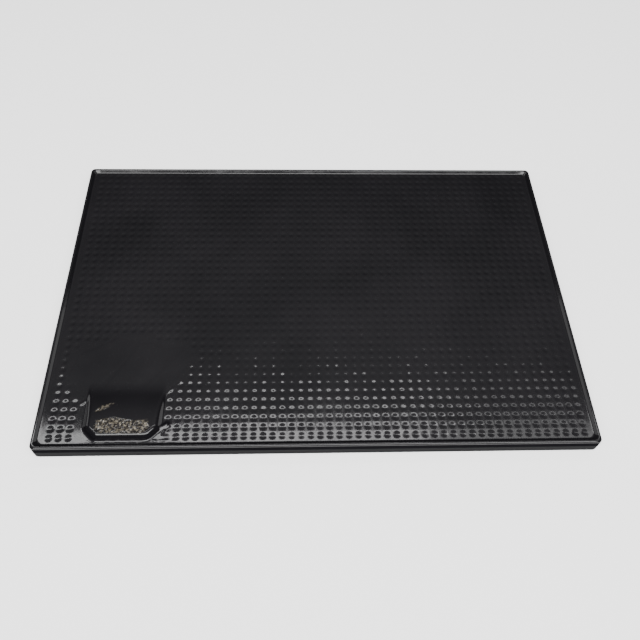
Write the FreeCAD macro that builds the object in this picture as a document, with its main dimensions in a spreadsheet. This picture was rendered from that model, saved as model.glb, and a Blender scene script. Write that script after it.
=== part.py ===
"""Seedling heat mat: a shallow black tray holding a heating cable under a perforated plate and a glossy skin.

Millimetres.  The origin is the centre of the mat on the surface it stands on, +X runs along the long side,
+Y goes from the front edge to the back edge and +Z is up.  Every piece is a separate solid in its own node.
"""
import FreeCAD, Part
import math
import os
import Sketcher

Vector = FreeCAD.Vector
X_AXIS, Y_AXIS, Z_AXIS = Vector(1, 0, 0), Vector(0, 1, 0), Vector(0, 0, 1)

os.makedirs("parts", exist_ok=True)
doc = FreeCAD.newDocument("SeedlingHeatMat")

# ---------------------------------------------------------------- driving dimensions
DIMENSIONS = [
    ("mat_length", 600), ("mat_width", 400),            # over the outer edges, long and short side
    ("foot_stand", 0.8), ("lip_top", 23.6),             # gap under the tray, height of the edge lip
    ("field_top", 20.1), ("seam_level", 14),            # heated surface, lower edge of the skin's skirt
    ("skin_thick", 1.1), ("plate_thick", 1.0),
    ("tape_thick", 0.2), ("foil_thick", 0.2), ("patch_thick", 0.2),
    ("floor_thick", 2.0), ("tray_wall", 7.0),           # the wall is measured from the mat's outer edge
    ("bottom_inset", 1.4), ("bend_inset", 0.4), ("bend_level", 3.6),
    ("corner_radius", 5), ("inner_radius", 6),
    ("lip_crown", 3.4), ("lip_foot", 6.0),              # insets of the lip's inner top edge and of its foot
    ("fit_gap", 0.4),                                   # loose gap between stacked inner pieces and the tray
    ("bay_left", -246), ("bay_right", -170), ("bay_front", -188.5), ("bay_back", -142),
    ("bay_corner_x", 13), ("bay_corner_y", 13), ("bay_wall", 1.8), ("bay_floor", 1.6),
    ("bay_rim", 19.4), ("gasket_thick", 0.6),
    ("lid_front_top", 25.5), ("lid_back_top", 20.9), ("lid_slope", 3.2), ("lid_wall", 1.5),
    ("lid_gap", 0.35),
    ("cable_radius", 1.5), ("cable_bore", 0.9), ("cable_core", 0.85), ("cable_level", 16.1),
    ("groove_width", 4), ("groove_floor", 14.2),
    ("run_front", -150), ("run_back", 150), ("run_count", 8),
    ("turn_right", 255), ("turn_left", -225), ("return_line", -275), ("return_entry", -158),
    ("inlet_y", -172), ("inlet_level", 11.6), ("inlet_bore", 3.6), ("inlet_body", 4.5), ("inlet_flange", 5.5),
    ("inlet_seat", 8.0), ("inlet_depth", 1.0),
    ("foot_radius", 7), ("foot_recess", 0.8), ("foot_x", 255), ("foot_y", 160),
    ("cut_left", -158), ("cut_right", -136), ("cut_y", -168.5), ("cut_width", 8.4), ("cut_low", 13.4),
    ("cut_height", 4.4), ("cut_wall", 0.5), ("cut_plug", 5), ("arm_thick", 0.3), ("arm_width", 3.4),
    ("arm_gap", 0.15), ("contact_gap", 0.03), ("contact_thick", 0.5), ("contact_radius", 1.1),
    ("block_left", -229), ("block_right", -203), ("block_front", -181), ("block_back", -165),
    ("block_top", 18.4), ("pole_pitch", 5), ("pole_level", 13.4),
    ("lead_radius", 0.9), ("fine_lead_radius", 0.6), ("path_bend", 15),
    ("label_left", 150), ("label_front", -60), ("label_length", 70), ("label_width", 40), ("label_sink", 0.2),
    ("screw_side", 13), ("screw_front", 7), ("post_radius", 3), ("pilot_radius", 1.25), ("screw_clear", 1.6),
    ("well_radius", 3.6), ("well_depth", 3.4), ("head_radius", 2.6), ("head_seat", 1.6), ("head_thick", 1.6),
    ("crimp_radius", 1.4), ("crimp_length", 10), ("fuse_radius", 2.0), ("fuse_length", 9), ("fuse_drop", 0.8),
    ("seal_radius", 2.9), ("boss_rise", 3.4), ("notch_rise", 3.6), ("strip_width", 25),
    ("earth_x", -208), ("earth_y", -131), ("earth_level", 16), ("earth_hole_radius", 1.5), ("tab_thick", 0.8),
]
sheet = doc.addObject("Spreadsheet::Sheet", "Dims")
for row, (alias, value) in enumerate(DIMENSIONS, start=1):
    sheet.set("A%d" % row, alias)
    sheet.set("B%d" % row, str(value))
    sheet.setAlias("B%d" % row, alias)
doc.recompute()


def dim(alias):
    """Value of one driving dimension."""
    return float(sheet.get(alias))


def bound(expression):
    """Turn dimension names inside an expression into references to the sheet."""
    text = " %s " % expression
    for alias in sorted((name for name, _ in DIMENSIONS), key=len, reverse=True):
        text = text.replace(alias, "@" + alias.upper() + "@")
    for alias, _ in DIMENSIONS:
        text = text.replace("@" + alias.upper() + "@", "Dims." + alias)
    return text.strip()


# ---------------------------------------------------------------- plain solids bound to the sheet
def bind(obj, **expressions):
    """Bind the properties of an object to expressions of driving dimensions."""
    for prop, expression in expressions.items():
        path = {"x": ".Placement.Base.x", "y": ".Placement.Base.y", "z": ".Placement.Base.z"}.get(prop, prop)
        obj.setExpression(path, bound(str(expression)))
    return obj


def box(label, x, y, z, length, width, height):
    """Box from its lowest corner and its three sides."""
    obj = doc.addObject("Part::Box", label)
    obj.Label = label
    return bind(obj, Length=length, Width=width, Height=height, x=x, y=y, z=z)


def cylinder(label, x, y, z, radius, height, axis=Z_AXIS):
    """Cylinder from the centre of its first end, running along an axis."""
    obj = doc.addObject("Part::Cylinder", label)
    obj.Label = label
    obj.Placement = FreeCAD.Placement(Vector(), FreeCAD.Rotation(Z_AXIS, axis))
    return bind(obj, Radius=radius, Height=height, x=x, y=y, z=z)


def fuse(label, shapes):
    """Union of several objects."""
    obj = doc.addObject("Part::MultiFuse", label)
    obj.Label = label
    obj.Shapes = shapes
    obj.Refine = True
    return obj


def cut(label, base, tools):
    """One object less one or several others."""
    obj = doc.addObject("Part::Cut", label)
    obj.Label = label
    obj.Base = base
    obj.Tool = tools[0] if len(tools) == 1 else fuse(label + "_tool", tools)
    obj.Refine = True
    return obj


def group(label, pieces):
    """Several equal, separate solids kept in one node."""
    obj = doc.addObject("Part::Compound", label)
    obj.Label = label
    obj.Links = pieces
    return obj


def free_shape(label, shape):
    """A shape made with Part's own functions, where no primitive or sketch fits."""
    obj = doc.addObject("Part::Feature", label)
    obj.Label = label
    obj.Shape = shape
    return obj


# ---------------------------------------------------------------- sketch-based bodies
def new_body(label):
    """Empty PartDesign body."""
    obj = doc.addObject("PartDesign::Body", label)
    obj.Label = label
    return obj


def sketch_on(body, label, level, tilt=0.0):
    """Sketch on the body's own XY plane, lifted to a level and tilted about X by a number of degrees."""
    sketch = body.newObject("Sketcher::SketchObject", label)
    plane = [item for item in body.Origin.OriginFeatures if item.Role == "XY_Plane"][0]
    sketch.AttachmentSupport = [(plane, "")]
    sketch.MapMode = "FlatFace"
    sketch.AttachmentOffset = FreeCAD.Placement(Vector(), FreeCAD.Rotation(X_AXIS, tilt))
    sketch.setExpression(".AttachmentOffset.Base.z", bound(str(level)))
    return sketch


def rounded_plate(body, label, level, inset, radius):
    """Rounded rectangle centred on the mat, a given inset inside its outer edges."""
    sketch = sketch_on(body, label, level)
    half_x, half_y, rad = dim("mat_length") / 2 - 3, dim("mat_width") / 2 - 3, 4.0
    corners = [(-half_x, -half_y), (half_x, -half_y), (half_x, half_y), (-half_x, half_y)]
    for index, (x, y) in enumerate(corners):
        nx, ny = corners[(index + 1) % 4]
        along = Vector(nx - x, ny - y, 0).normalize() * rad
        sketch.addGeometry(Part.LineSegment(Vector(x, y, 0) + along, Vector(nx, ny, 0) - along), False)
    for index, (x, y) in enumerate(corners):
        centre = Vector(x - math.copysign(rad, x), y - math.copysign(rad, y), 0)
        start = math.pi + index * math.pi / 2
        circle = Part.Circle(centre, Z_AXIS, rad)
        sketch.addGeometry(Part.ArcOfCircle(circle, start, start + math.pi / 2), False)
    add = sketch.addConstraint
    for index in range(4):
        add(Sketcher.Constraint("Tangent", (index - 1) % 4, 2, 4 + index, 1))
        add(Sketcher.Constraint("Tangent", 4 + index, 2, index, 1))
        add(Sketcher.Constraint("Horizontal" if index % 2 == 0 else "Vertical", index))
    for index in range(5, 8):
        add(Sketcher.Constraint("Equal", 4, index))
    add(Sketcher.Constraint("Symmetric", 0, 1, 2, 1, -1, 1))
    across = Sketcher.Constraint("DistanceX", 3, 1, 1, 1, 2 * half_x)
    upwards = Sketcher.Constraint("DistanceY", 0, 1, 2, 1, 2 * half_y)
    sizes = [("length", across, "mat_length - 2 * (%s)" % inset),
             ("width", upwards, "mat_width - 2 * (%s)" % inset),
             ("radius", Sketcher.Constraint("Radius", 4, rad), radius)]
    for name, constraint, expression in sizes:
        number = add(constraint)
        sketch.renameConstraint(number, name)
        sketch.setExpression("Constraints." + name, bound(str(expression)))
    return sketch


def polygon(body, label, level, points, tilt=0.0):
    """Closed polygon whose corners are pairs of expressions, measured from the body's origin."""
    sketch = sketch_on(body, label, level, tilt)
    spots = [Vector(value_of(x), value_of(y), 0) for x, y in points]
    for index, spot in enumerate(spots):
        sketch.addGeometry(Part.LineSegment(spot, spots[(index + 1) % len(spots)]), False)
    for index in range(len(spots)):
        sketch.addConstraint(Sketcher.Constraint("Coincident", (index - 1) % len(spots), 2, index, 1))
    for index, (x, y) in enumerate(points):
        for kind, expression in (("DistanceX", x), ("DistanceY", y)):
            number = sketch.addConstraint(Sketcher.Constraint(kind, -1, 1, index, 1, value_of(expression)))
            sketch.setExpression("Constraints[%d]" % number, bound(expression))
    return sketch


def value_of(expression):
    """Value of an expression of driving dimensions, worked out by the document."""
    return float(sheet.evalExpression(bound(expression)))


def pad(body, sketch, height):
    """Pad a sketch by a height."""
    feature = body.newObject("PartDesign::Pad", sketch.Label + "_pad")
    feature.Profile = sketch
    feature.setExpression("Length", bound(str(height)))
    return feature


def pocket(body, sketch, depth):
    """Cut a sketch upwards by a depth."""
    feature = body.newObject("PartDesign::Pocket", sketch.Label + "_pocket")
    feature.Profile = sketch
    feature.Reversed = True
    feature.setExpression("Length", bound(str(depth)))
    return feature


def loft(body, kind, sketches):
    """Ruled loft through two or more sketches, added or taken away."""
    feature = body.newObject("PartDesign::%sLoft" % kind, sketches[0].Label + "_loft")
    feature.Profile = sketches[0]
    feature.Sections = sketches[1:]
    feature.Ruled = True
    return feature


# ---------------------------------------------------------------- lines that several pieces share
FLOOR_TOP = "foot_stand + floor_thick"
PLATE_TOP = "field_top - skin_thick"
PLATE_LOW = "%s - plate_thick" % PLATE_TOP
FOIL_TOP = "%s - tape_thick" % PLATE_LOW
BOARD_TOP = "%s - foil_thick" % FOIL_TOP
LID_LOW = "bay_rim + gasket_thick"
LID_SCREWS = [("bay_left + screw_side", "bay_front + screw_front"),
              ("bay_right - screw_side", "bay_front + screw_front")]
LEAD_LOW = "cut_low + cut_wall + 0.3"
LEAD_HIGH = "%s + contact_thick * 2 + contact_gap + 0.35" % LEAD_LOW


def bay_outline(grow="0", front="bay_front", side_slope="0"):
    """Six-cornered plan of the junction bay, grown outwards and with its front moved in for a sloped lid."""
    left, right = "bay_left - (%s) + (%s)" % (grow, side_slope), "bay_right + (%s) - (%s)" % (grow, side_slope)
    low, high = "%s - (%s)" % (front, grow), "bay_back + (%s)" % grow
    return [(left, "%s + bay_corner_y" % low), (left + " + bay_corner_x", low),
            (right + " - bay_corner_x", low), (right, "%s + bay_corner_y" % low), (right, high), (left, high)]


def lid_tilt():
    """Slope of the lid's top, in degrees: it falls towards the back."""
    fall = dim("lid_front_top") - dim("lid_back_top")
    run = dim("bay_back") - dim("bay_front") - dim("lid_slope")
    return -math.degrees(math.atan2(fall, run))


def lid_outline(body, label, grow, drop):
    """Tilted plan of the lid's top, grown outwards and lowered by a drop."""
    tilt = math.radians(lid_tilt())
    stretch = 1 / math.cos(tilt)
    front = dim("bay_front") + dim("lid_slope")
    level = dim("lid_front_top") - math.tan(tilt) * front - drop
    plan = bay_outline(str(grow), "bay_front + lid_slope", "lid_slope / 2")
    points = [(value_of(x), value_of(y)) for x, y in plan]
    sketch = sketch_on(body, label, level, math.degrees(tilt))
    spots = [Vector(x, y * stretch, 0) for x, y in points]
    for index, spot in enumerate(spots):
        sketch.addGeometry(Part.LineSegment(spot, spots[(index + 1) % len(spots)]), False)
        sketch.addConstraint(Sketcher.Constraint("Block", index))
    return sketch


# ---------------------------------------------------------------- shell
def lip_sections(body, name):
    """Lower and upper outline of the lip's inner slope, one skin's thickness under its finished surface."""
    return [rounded_plate(body, name + "_low", PLATE_TOP, "lip_foot - skin_thick * 0.6", "inner_radius"),
            rounded_plate(body, name + "_high", "lip_top - skin_thick", "lip_crown - skin_thick * 0.4",
                          "inner_radius")]


def make_base_tray():
    """Moulded tray: floor, walls that lean out to the seam, and the core of the edge lip."""
    body = new_body("tray_shell")
    levels = [("tray_bottom", "foot_stand", "bottom_inset"), ("tray_bend", "bend_level", "bend_inset"),
              ("tray_seam", "seam_level", "0")]
    sections = [rounded_plate(body, name, level, inset, "corner_radius") for name, level, inset in levels]
    loft(body, "Additive", sections)
    rim = rounded_plate(body, "tray_rim", "seam_level", "skin_thick", "corner_radius - skin_thick")
    pad(body, rim, "lip_top - skin_thick - seam_level")
    loft(body, "Subtractive", lip_sections(body, "lip"))
    cavity = rounded_plate(body, "tray_cavity", FLOOR_TOP, "tray_wall", "inner_radius")
    pocket(body, cavity, "lip_top")
    seat = box("inlet_boss", "-mat_length / 2 + inlet_depth", "inlet_y - inlet_seat", "bend_level",
               "tray_wall - inlet_depth", "2 * inlet_seat", "seam_level - bend_level + boss_rise")
    shell = fuse("tray_with_boss", [body, seat])
    hole = cylinder("inlet_hole", "-mat_length / 2 - 1", "inlet_y", "inlet_level", "inlet_body",
                    "tray_wall + 2", X_AXIS)
    recesses = [cylinder("foot_recess_%d" % index, x, y, "foot_stand - 1", "foot_radius + 0.1",
                         "foot_recess + 1") for index, (x, y) in enumerate(foot_places())]
    label_recess = box("label_recess", "label_left", "label_front", "foot_stand - 1",
                       "label_length", "label_width", "label_sink + 1")
    flange = cylinder("flange_recess", "-mat_length / 2 - 1", "inlet_y", "inlet_level", "inlet_flange + 0.1",
                      "inlet_depth + 1", X_AXIS)
    return cut("base_tray", shell, [hole, flange, label_recess] + recesses)


def foot_places():
    """Centres of the six feet."""
    return [("foot_x * %d" % side, "foot_y * %d" % end) for side in (-1, 0, 1) for end in (-1, 1)]


def make_top_skin(patches):
    """Glossy skin: skirt, edge lip, heated field and the cover over the junction bay."""
    body = new_body("skin_shell")
    pad(body, rounded_plate(body, "skirt", "seam_level", "0", "corner_radius"), "lip_top - seam_level")
    pocket(body, rounded_plate(body, "skirt_inside", "seam_level", "skin_thick", "corner_radius - skin_thick"),
           "lip_top - skin_thick - seam_level")
    loft(body, "Additive", lip_sections(body, "sheet"))
    loft(body, "Subtractive",
         [rounded_plate(body, "field", "field_top", "lip_foot", "inner_radius"),
          rounded_plate(body, "field_mouth", "lip_top", "lip_crown", "inner_radius")])
    loft(body, "Additive", [polygon(body, "cover_foot", "field_top - 0.5", bay_outline("2.2")),
                            lid_outline(body, "cover_top", 1.05, -dim("skin_thick"))])
    loft(body, "Subtractive", [polygon(body, "cover_inside", LID_LOW, bay_outline("lid_gap")),
                               lid_outline(body, "cover_ceiling", dim("lid_gap"), -0.1)])
    pocket(body, polygon(body, "bay_opening", "%s - 1" % PLATE_TOP, bay_outline("lid_gap")),
           "%s - (%s) + 1" % (LID_LOW, PLATE_TOP))
    notch = box("inlet_notch", "-mat_length / 2 - 1", "inlet_y - inlet_seat - 0.2", "seam_level - 1",
                "skin_thick + 1", "2 * inlet_seat + 0.4", "notch_rise + 1")
    return cut("top_skin", body, [notch] + patches)


def make_spreader_plate():
    """Aluminium plate under the skin, cut out for the junction bay."""
    body = new_body("plate_blank")
    outline = rounded_plate(body, "plate_outline", PLATE_LOW, "tray_wall + fit_gap", "inner_radius")
    pad(body, outline, "plate_thick")
    pocket(body, polygon(body, "plate_window", "%s - 1" % PLATE_LOW, bay_outline("fit_gap")), "plate_thick + 2")
    earth_hole = cylinder("earth_hole", "earth_x", "earth_y", "%s - 1" % PLATE_LOW, "earth_hole_radius",
                          "plate_thick + 2")
    return cut("spreader_plate", body, [earth_hole])


# ---------------------------------------------------------------- heating layer
def serpentine_path():
    """Centre line of the heating cable: runs joined by half turns, then back along the left side."""
    level = dim("cable_level")
    count = int(dim("run_count"))
    pitch = (dim("run_back") - dim("run_front")) / (count - 1)
    radius, bend = pitch / 2, dim("path_bend")
    edges = []
    here = Vector(dim("bay_right") - 6, dim("run_front"), level)
    for index in range(count):
        rightwards = index % 2 == 0
        last = index == count - 1
        target_x = dim("turn_right") if rightwards else dim("turn_left")
        if last:
            target_x = dim("return_line") + bend
        target = Vector(target_x, here.y, level)
        edges.append(Part.makeLine(here, target))
        if last:
            here = target
            break
        side = radius if rightwards else -radius
        top = Vector(target.x, target.y + pitch, level)
        middle = Vector(target.x + side, target.y + radius, level)
        edges.append(Part.Arc(target, middle, top).toShape())
        here = top
    corner = bend * (1 - math.sqrt(0.5))
    line_x, entry = dim("return_line"), dim("return_entry")
    low = Vector(line_x, here.y - bend, level)
    edges.append(Part.Arc(here, Vector(line_x + corner, here.y - corner, level), low).toShape())
    bottom = Vector(line_x, entry + bend, level)
    edges.append(Part.makeLine(low, bottom))
    end = Vector(line_x + bend, entry, level)
    edges.append(Part.Arc(bottom, Vector(line_x + corner, entry + corner, level), end).toShape())
    edges.append(Part.makeLine(end, Vector(dim("bay_left") + 4, entry, level)))
    return edges


def swept(edges, radius, inner_radius=0.0):
    """Round bar or tube along a path of tangent lines and arcs."""
    path = Part.Wire(edges)
    start = edges[0].Vertexes[0].Point
    along = edges[0].tangentAt(edges[0].FirstParameter)
    solids = []
    for size in (radius, inner_radius):
        if size:
            ring = Part.Wire(Part.makeCircle(size, start, along))
            solids.append(path.makePipeShell([ring], True, False))
    return solids[0].cut(solids[1]) if inner_radius else solids[0]


def groove_cutter():
    """Upright-sided channel that follows the heating cable, open at the top."""
    line = Part.Wire(serpentine_path())
    outline = line.makeOffset2D(dim("groove_width") / 2, 0, False, False, False)
    outline.translate(Vector(0, 0, dim("groove_floor") - dim("cable_level")))
    return Part.Face(outline).extrude(Vector(0, 0, value_of(FOIL_TOP) + 1 - dim("groove_floor")))


def make_heating_layer():
    """Insulation board, its foil facing, the heating cable in its grooves and the strips that hold it."""
    grooves = free_shape("cable_grooves", groove_cutter())
    bay_hole = free_shape("bay_hole", Part.Face(Part.makePolygon(
        [Vector(value_of(x), value_of(y), 0) for x, y in bay_outline("fit_gap") + bay_outline("fit_gap")[:1]])
        ).extrude(Vector(0, 0, 30)))
    pockets = [
        grooves, bay_hole,
        box("cut_pocket", "bay_right - 2", "cut_y - cut_width / 2 - 0.4", "cut_low - 0.2",
            "cut_right - bay_right + 2.5", "cut_width + 0.8", 10),
        box("earth_pocket", "earth_x - 6", "bay_back - 2", "earth_level - 1.6", 12, 20, 10),
        cylinder("cord_channel", "-mat_length / 2", "inlet_y", "inlet_level", "inlet_bore + 0.6",
                 "mat_length / 2 + bay_left + 2", X_AXIS),
        box("gland_pocket", "-mat_length / 2", "inlet_y - inlet_body - 2", "foot_stand", "tray_wall + 2",
            "2 * inlet_body + 4", "field_top"),
    ]
    body = new_body("board_blank")
    pad(body, rounded_plate(body, "board_outline", FLOOR_TOP, "tray_wall + fit_gap", "inner_radius"),
        "%s - (%s)" % (BOARD_TOP, FLOOR_TOP))
    facing = new_body("facing_blank")
    outline = rounded_plate(facing, "facing_outline", BOARD_TOP, "tray_wall + fit_gap", "inner_radius")
    pad(facing, outline, "foil_thick")
    tool = fuse("board_pockets", pockets)
    cut("insulation_board", body, [tool])
    cut("reflector_foil", facing, [tool])
    path = serpentine_path()
    free_shape("heating_cable_sheath", swept(path, dim("cable_radius"), dim("cable_bore")))
    free_shape("heating_cable_core", swept(path, dim("cable_core")))
    back_end, behind_bay, before_runs = 170, -120, -172
    strips = []
    for index, (x, front_end) in enumerate([(-235, behind_bay), (-60, before_runs), (60, before_runs),
                                            (235, before_runs)]):
        strips.append(box("hold_strip_%d" % index, x, front_end, FOIL_TOP, "strip_width", back_end - front_end,
                          "tape_thick"))
    group("cable_hold_strips", strips)


def make_patches():
    """Foil tapes that close the plate's window and fan out from the junction bay, under the skin."""
    outlines = {
        "patch_tape_left": [(-275, -115), (-268, -88), (-226, -66), (-213, -92), (-252.5, -135)],
        "patch_tape_centre": [(-246, -140.9), (-212.4, -92), (-203, -73), (-187, -73), (-176, -140.9)],
        "patch_tape_right": [(-186.3, -74), (-165, -77), (-139, -100), (-167, -141), (-175, -140.9)],
    }
    pieces = []
    for label, points in outlines.items():
        level = value_of(PLATE_TOP)
        spots = [Vector(x, y, level) for x, y in points]
        face = Part.Face(Part.makePolygon(spots + spots[:1]))
        pieces.append(free_shape(label, face.extrude(Vector(0, 0, dim("patch_thick")))))
    return pieces


# ---------------------------------------------------------------- junction bay
def make_junction_housing():
    """Open box under the raised corner, with holes for the cord, the cable ends and the small leads."""
    body = new_body("housing_blank")
    pad(body, polygon(body, "housing_outline", FLOOR_TOP, bay_outline()), "bay_rim - (%s)" % FLOOR_TOP)
    inside = polygon(body, "housing_inside", "%s + bay_floor" % FLOOR_TOP, bay_outline("-bay_wall"))
    pocket(body, inside, "bay_rim")
    posts = [cylinder("post_%d" % index, x, y, "%s + 0.5" % FLOOR_TOP, "post_radius",
                      "bay_rim - 1 - (%s)" % FLOOR_TOP) for index, (x, y) in enumerate(LID_SCREWS)]
    holes = [cylinder("pilot_%d" % index, x, y, "bay_rim - 9", "pilot_radius", 12)
             for index, (x, y) in enumerate(LID_SCREWS)]
    through, right = "bay_wall + 2", "bay_right - bay_wall - 1"
    holes += [
        cylinder("cord_hole", "bay_left - 1", "inlet_y", "inlet_level", "inlet_bore + 0.4", through, X_AXIS),
        cylinder("start_hole", right, "run_front", "cable_level", "seal_radius", through, X_AXIS),
        cylinder("end_hole", "bay_left - 1", "return_entry", "cable_level", "seal_radius", through, X_AXIS),
        cylinder("lead_hole_low", right, "cut_y - 2.3", LEAD_LOW, 1.0, through, X_AXIS),
        cylinder("lead_hole_high", right, "cut_y + 2.3", LEAD_HIGH, 1.0, through, X_AXIS),
        cylinder("earth_lead_hole", "earth_x", "bay_back - bay_wall - 1", "earth_level", 1.3, through, Y_AXIS),
    ]
    return cut("junction_housing", fuse("housing_with_posts", [body] + posts), holes)


def make_junction_lid():
    """Hollow wedge-shaped lid, highest at the front, with two screw wells."""
    body = new_body("lid_blank")
    loft(body, "Additive", [polygon(body, "lid_outline", LID_LOW, bay_outline()),
                            lid_outline(body, "lid_top", 0.0, 0.0)])
    loft(body, "Subtractive", [polygon(body, "lid_inside", "%s - 0.01" % LID_LOW, bay_outline("-lid_wall")),
                               lid_outline(body, "lid_ceiling", -dim("lid_wall"), dim("lid_wall") * 0.8)])
    wells, shafts, heads = [], [], []
    for index, (x, y) in enumerate(LID_SCREWS):
        wells.append(cylinder("well_%d" % index, x, y, LID_LOW, "well_radius", "well_depth"))
        shafts.append(cylinder("clearance_%d" % index, x, y, "%s - 1" % LID_LOW, "screw_clear", 10))
        heads.append(cylinder("head_room_%d" % index, x, y, "%s + head_seat" % LID_LOW,
                              "head_radius + 0.2", 10))
    return cut("junction_lid", fuse("lid_with_wells", [body] + wells), shafts + heads)


def make_lid_fittings():
    """Gasket under the lid and its two screws."""
    body = new_body("junction_gasket")
    pad(body, polygon(body, "gasket_outline", "bay_rim", bay_outline("-0.1")), "gasket_thick")
    inside = polygon(body, "gasket_inside", "bay_rim - 1", bay_outline("0.1 - lid_wall"))
    pocket(body, inside, "gasket_thick + 2")
    screws = []
    for index, (x, y) in enumerate(LID_SCREWS):
        shank = cylinder("screw_shank_%d" % index, x, y, "bay_rim - 7", "pilot_radius",
                         "gasket_thick + head_seat + 7")
        head = cylinder("screw_head_%d" % index, x, y, "%s + head_seat" % LID_LOW, "head_radius", "head_thick")
        slot = box("screw_slot_%d" % index, x + " - 2", y + " - 0.35", "%s + head_seat + 1" % LID_LOW,
                   4, 0.7, 2)
        screws.append(cut("lid_screw_%d" % index, fuse("lid_screw_blank_%d" % index, [shank, head]), [slot]))
    group("lid_screws", screws)


def make_inlet_gland():
    """Rubber bush in the left wall that the supply cord passes through."""
    left = "-mat_length / 2"
    body = cylinder("gland_body", left, "inlet_y", "inlet_level", "inlet_body", "tray_wall + 1", X_AXIS)
    outside = cylinder("gland_outside", left, "inlet_y", "inlet_level", "inlet_flange", "inlet_depth", X_AXIS)
    inside = cylinder("gland_inside", "%s + tray_wall" % left, "inlet_y", "inlet_level", "inlet_body + 0.2", 1,
                      X_AXIS)
    bore = cylinder("gland_bore", "%s - 1" % left, "inlet_y", "inlet_level", "inlet_bore", "tray_wall + 3",
                    X_AXIS)
    return cut("inlet_gland", fuse("gland_blank", [body, outside, inside]), [bore])


def make_terminals():
    """Three-way terminal block: moulded body, brass inserts and clamping screws."""
    length = "block_right - block_left"
    floor = "%s + bay_floor" % FLOOR_TOP
    middle = "(block_front + block_back) / 2"
    poles = ["%s + pole_pitch * %d" % (middle, step) for step in (-1, 0, 1)]
    blank = box("block_blank", "block_left", "block_front", floor, length, "block_back - block_front",
                "block_top - (%s)" % floor)
    bores, inserts, screws = [], [], []
    for index, y in enumerate(poles):
        bores.append(cylinder("pole_bore_%d" % index, "block_left - 1", y, "pole_level", 2.0, length + " + 2",
                              X_AXIS))
        tube = cylinder("insert_tube_%d" % index, "block_left + 2", y, "pole_level", 2.0, length + " - 4",
                        X_AXIS)
        hollow = cylinder("insert_hollow_%d" % index, "block_left", y, "pole_level", 1.3, length, X_AXIS)
        taps = []
        for end, x in enumerate(("block_left + 6", "block_right - 6")):
            name = "%d_%d" % (index, end)
            bores.append(cylinder("screw_bore_" + name, x, y, "pole_level", 1.4, 10))
            taps.append(cylinder("insert_tap_" + name, x, y, "pole_level", 1.25, 4))
            screw = cylinder("clamp_screw_" + name, x, y, "pole_level + 0.4", 1.25, 3.6)
            slot = box("clamp_slot_" + name, x + " - 1.5", y + " - 0.2", "pole_level + 3.4", 3, 0.4, 2)
            screws.append(cut("clamp_screw_cut_" + name, screw, [slot]))
        inserts.append(cut("insert_%d" % index, tube, [hollow] + taps))
    cut("terminal_block", blank, bores)
    group("terminal_inserts", inserts)
    group("terminal_screws", screws)


# ---------------------------------------------------------------- thermal cut-out
def make_cutout():
    """Thermal cut-out under the plate: can, plug, fixed strip and the bimetal arm that lifts off it."""
    length = "cut_right - cut_left"
    front = "cut_y - cut_width / 2"
    inner = "cut_width - 2 * cut_wall"
    shell = box("can_shell", "cut_left", front, "cut_low", length, "cut_width", "cut_height")
    hollow = box("can_hollow", "cut_left - 1", front + " + cut_wall", "cut_low + cut_wall",
                 length + " - cut_wall + 1", inner, "cut_height - 2 * cut_wall")
    cut("cutout_can", shell, [hollow])
    strip_low = "cut_low + cut_wall + 0.1"
    arm_low = "%s + 0.4 + contact_thick * 2 + contact_gap" % strip_low
    arm_start = "cut_left + cut_plug + arm_gap"
    arm_length = "%s - cut_wall - cut_plug - 2" % length
    tail = 2.0
    tail_low = box("tail_low", "cut_left - 2", "cut_y - 3.3", strip_low, tail + 2.0, tail, 0.4)
    strip = box("strip_bar", "cut_left + 1", "cut_y - 3.3", strip_low, length + " - 3", "5", 0.4)
    contact_x = "cut_left + cut_plug + 12.5"
    button = cylinder("fixed_button", contact_x, "cut_y", strip_low + " + 0.4", "contact_radius",
                      "contact_thick")
    fixed = fuse("cutout_fixed_strip", [tail_low, strip, button])
    tail_high = box("tail_high", "cut_left - 2", "cut_y + 1.3", arm_low, tail + 2.0, tail, "arm_thick")
    root = box("root_bar", "cut_left + 1", "cut_y - 1.7", arm_low, "cut_plug - 1", "5", "arm_thick")
    arm_root = fuse("cutout_arm_root", [tail_high, root])
    plug_block = box("plug_block", "cut_left", front + " + cut_wall", "cut_low + cut_wall", "cut_plug", inner,
                     "cut_height - 2 * cut_wall")
    doc.recompute()
    plug_slots = [free_shape("slot_" + piece.Label, piece.Shape.copy()) for piece in (fixed, arm_root)]
    cut("cutout_plug", plug_block, plug_slots)
    box("cutout_bimetal_arm", arm_start, "cut_y - arm_width / 2", arm_low,
        arm_length + " - arm_gap", "arm_width", "arm_thick")
    cylinder("cutout_moving_contact", contact_x, "cut_y", arm_low + " - contact_thick", "contact_radius",
             "contact_thick")


# ---------------------------------------------------------------- leads
def lead_path(points, radius):
    """Straight runs joined by tangent arcs of one radius."""
    spots = [Vector(*point) for point in points]
    edges, here = [], spots[0]
    for index in range(1, len(spots) - 1):
        corner = spots[index]
        back, ahead = (spots[index - 1] - corner).normalize(), (spots[index + 1] - corner).normalize()
        half = back.getAngle(ahead) / 2
        reach = radius / math.tan(half)
        begin, end = corner + back * reach, corner + ahead * reach
        bisector = (back + ahead).normalize()
        middle = corner + bisector * (radius / math.sin(half) - radius)
        edges += [Part.makeLine(here, begin), Part.Arc(begin, middle, end).toShape()]
        here = end
    edges.append(Part.makeLine(here, spots[-1]))
    return edges


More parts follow.
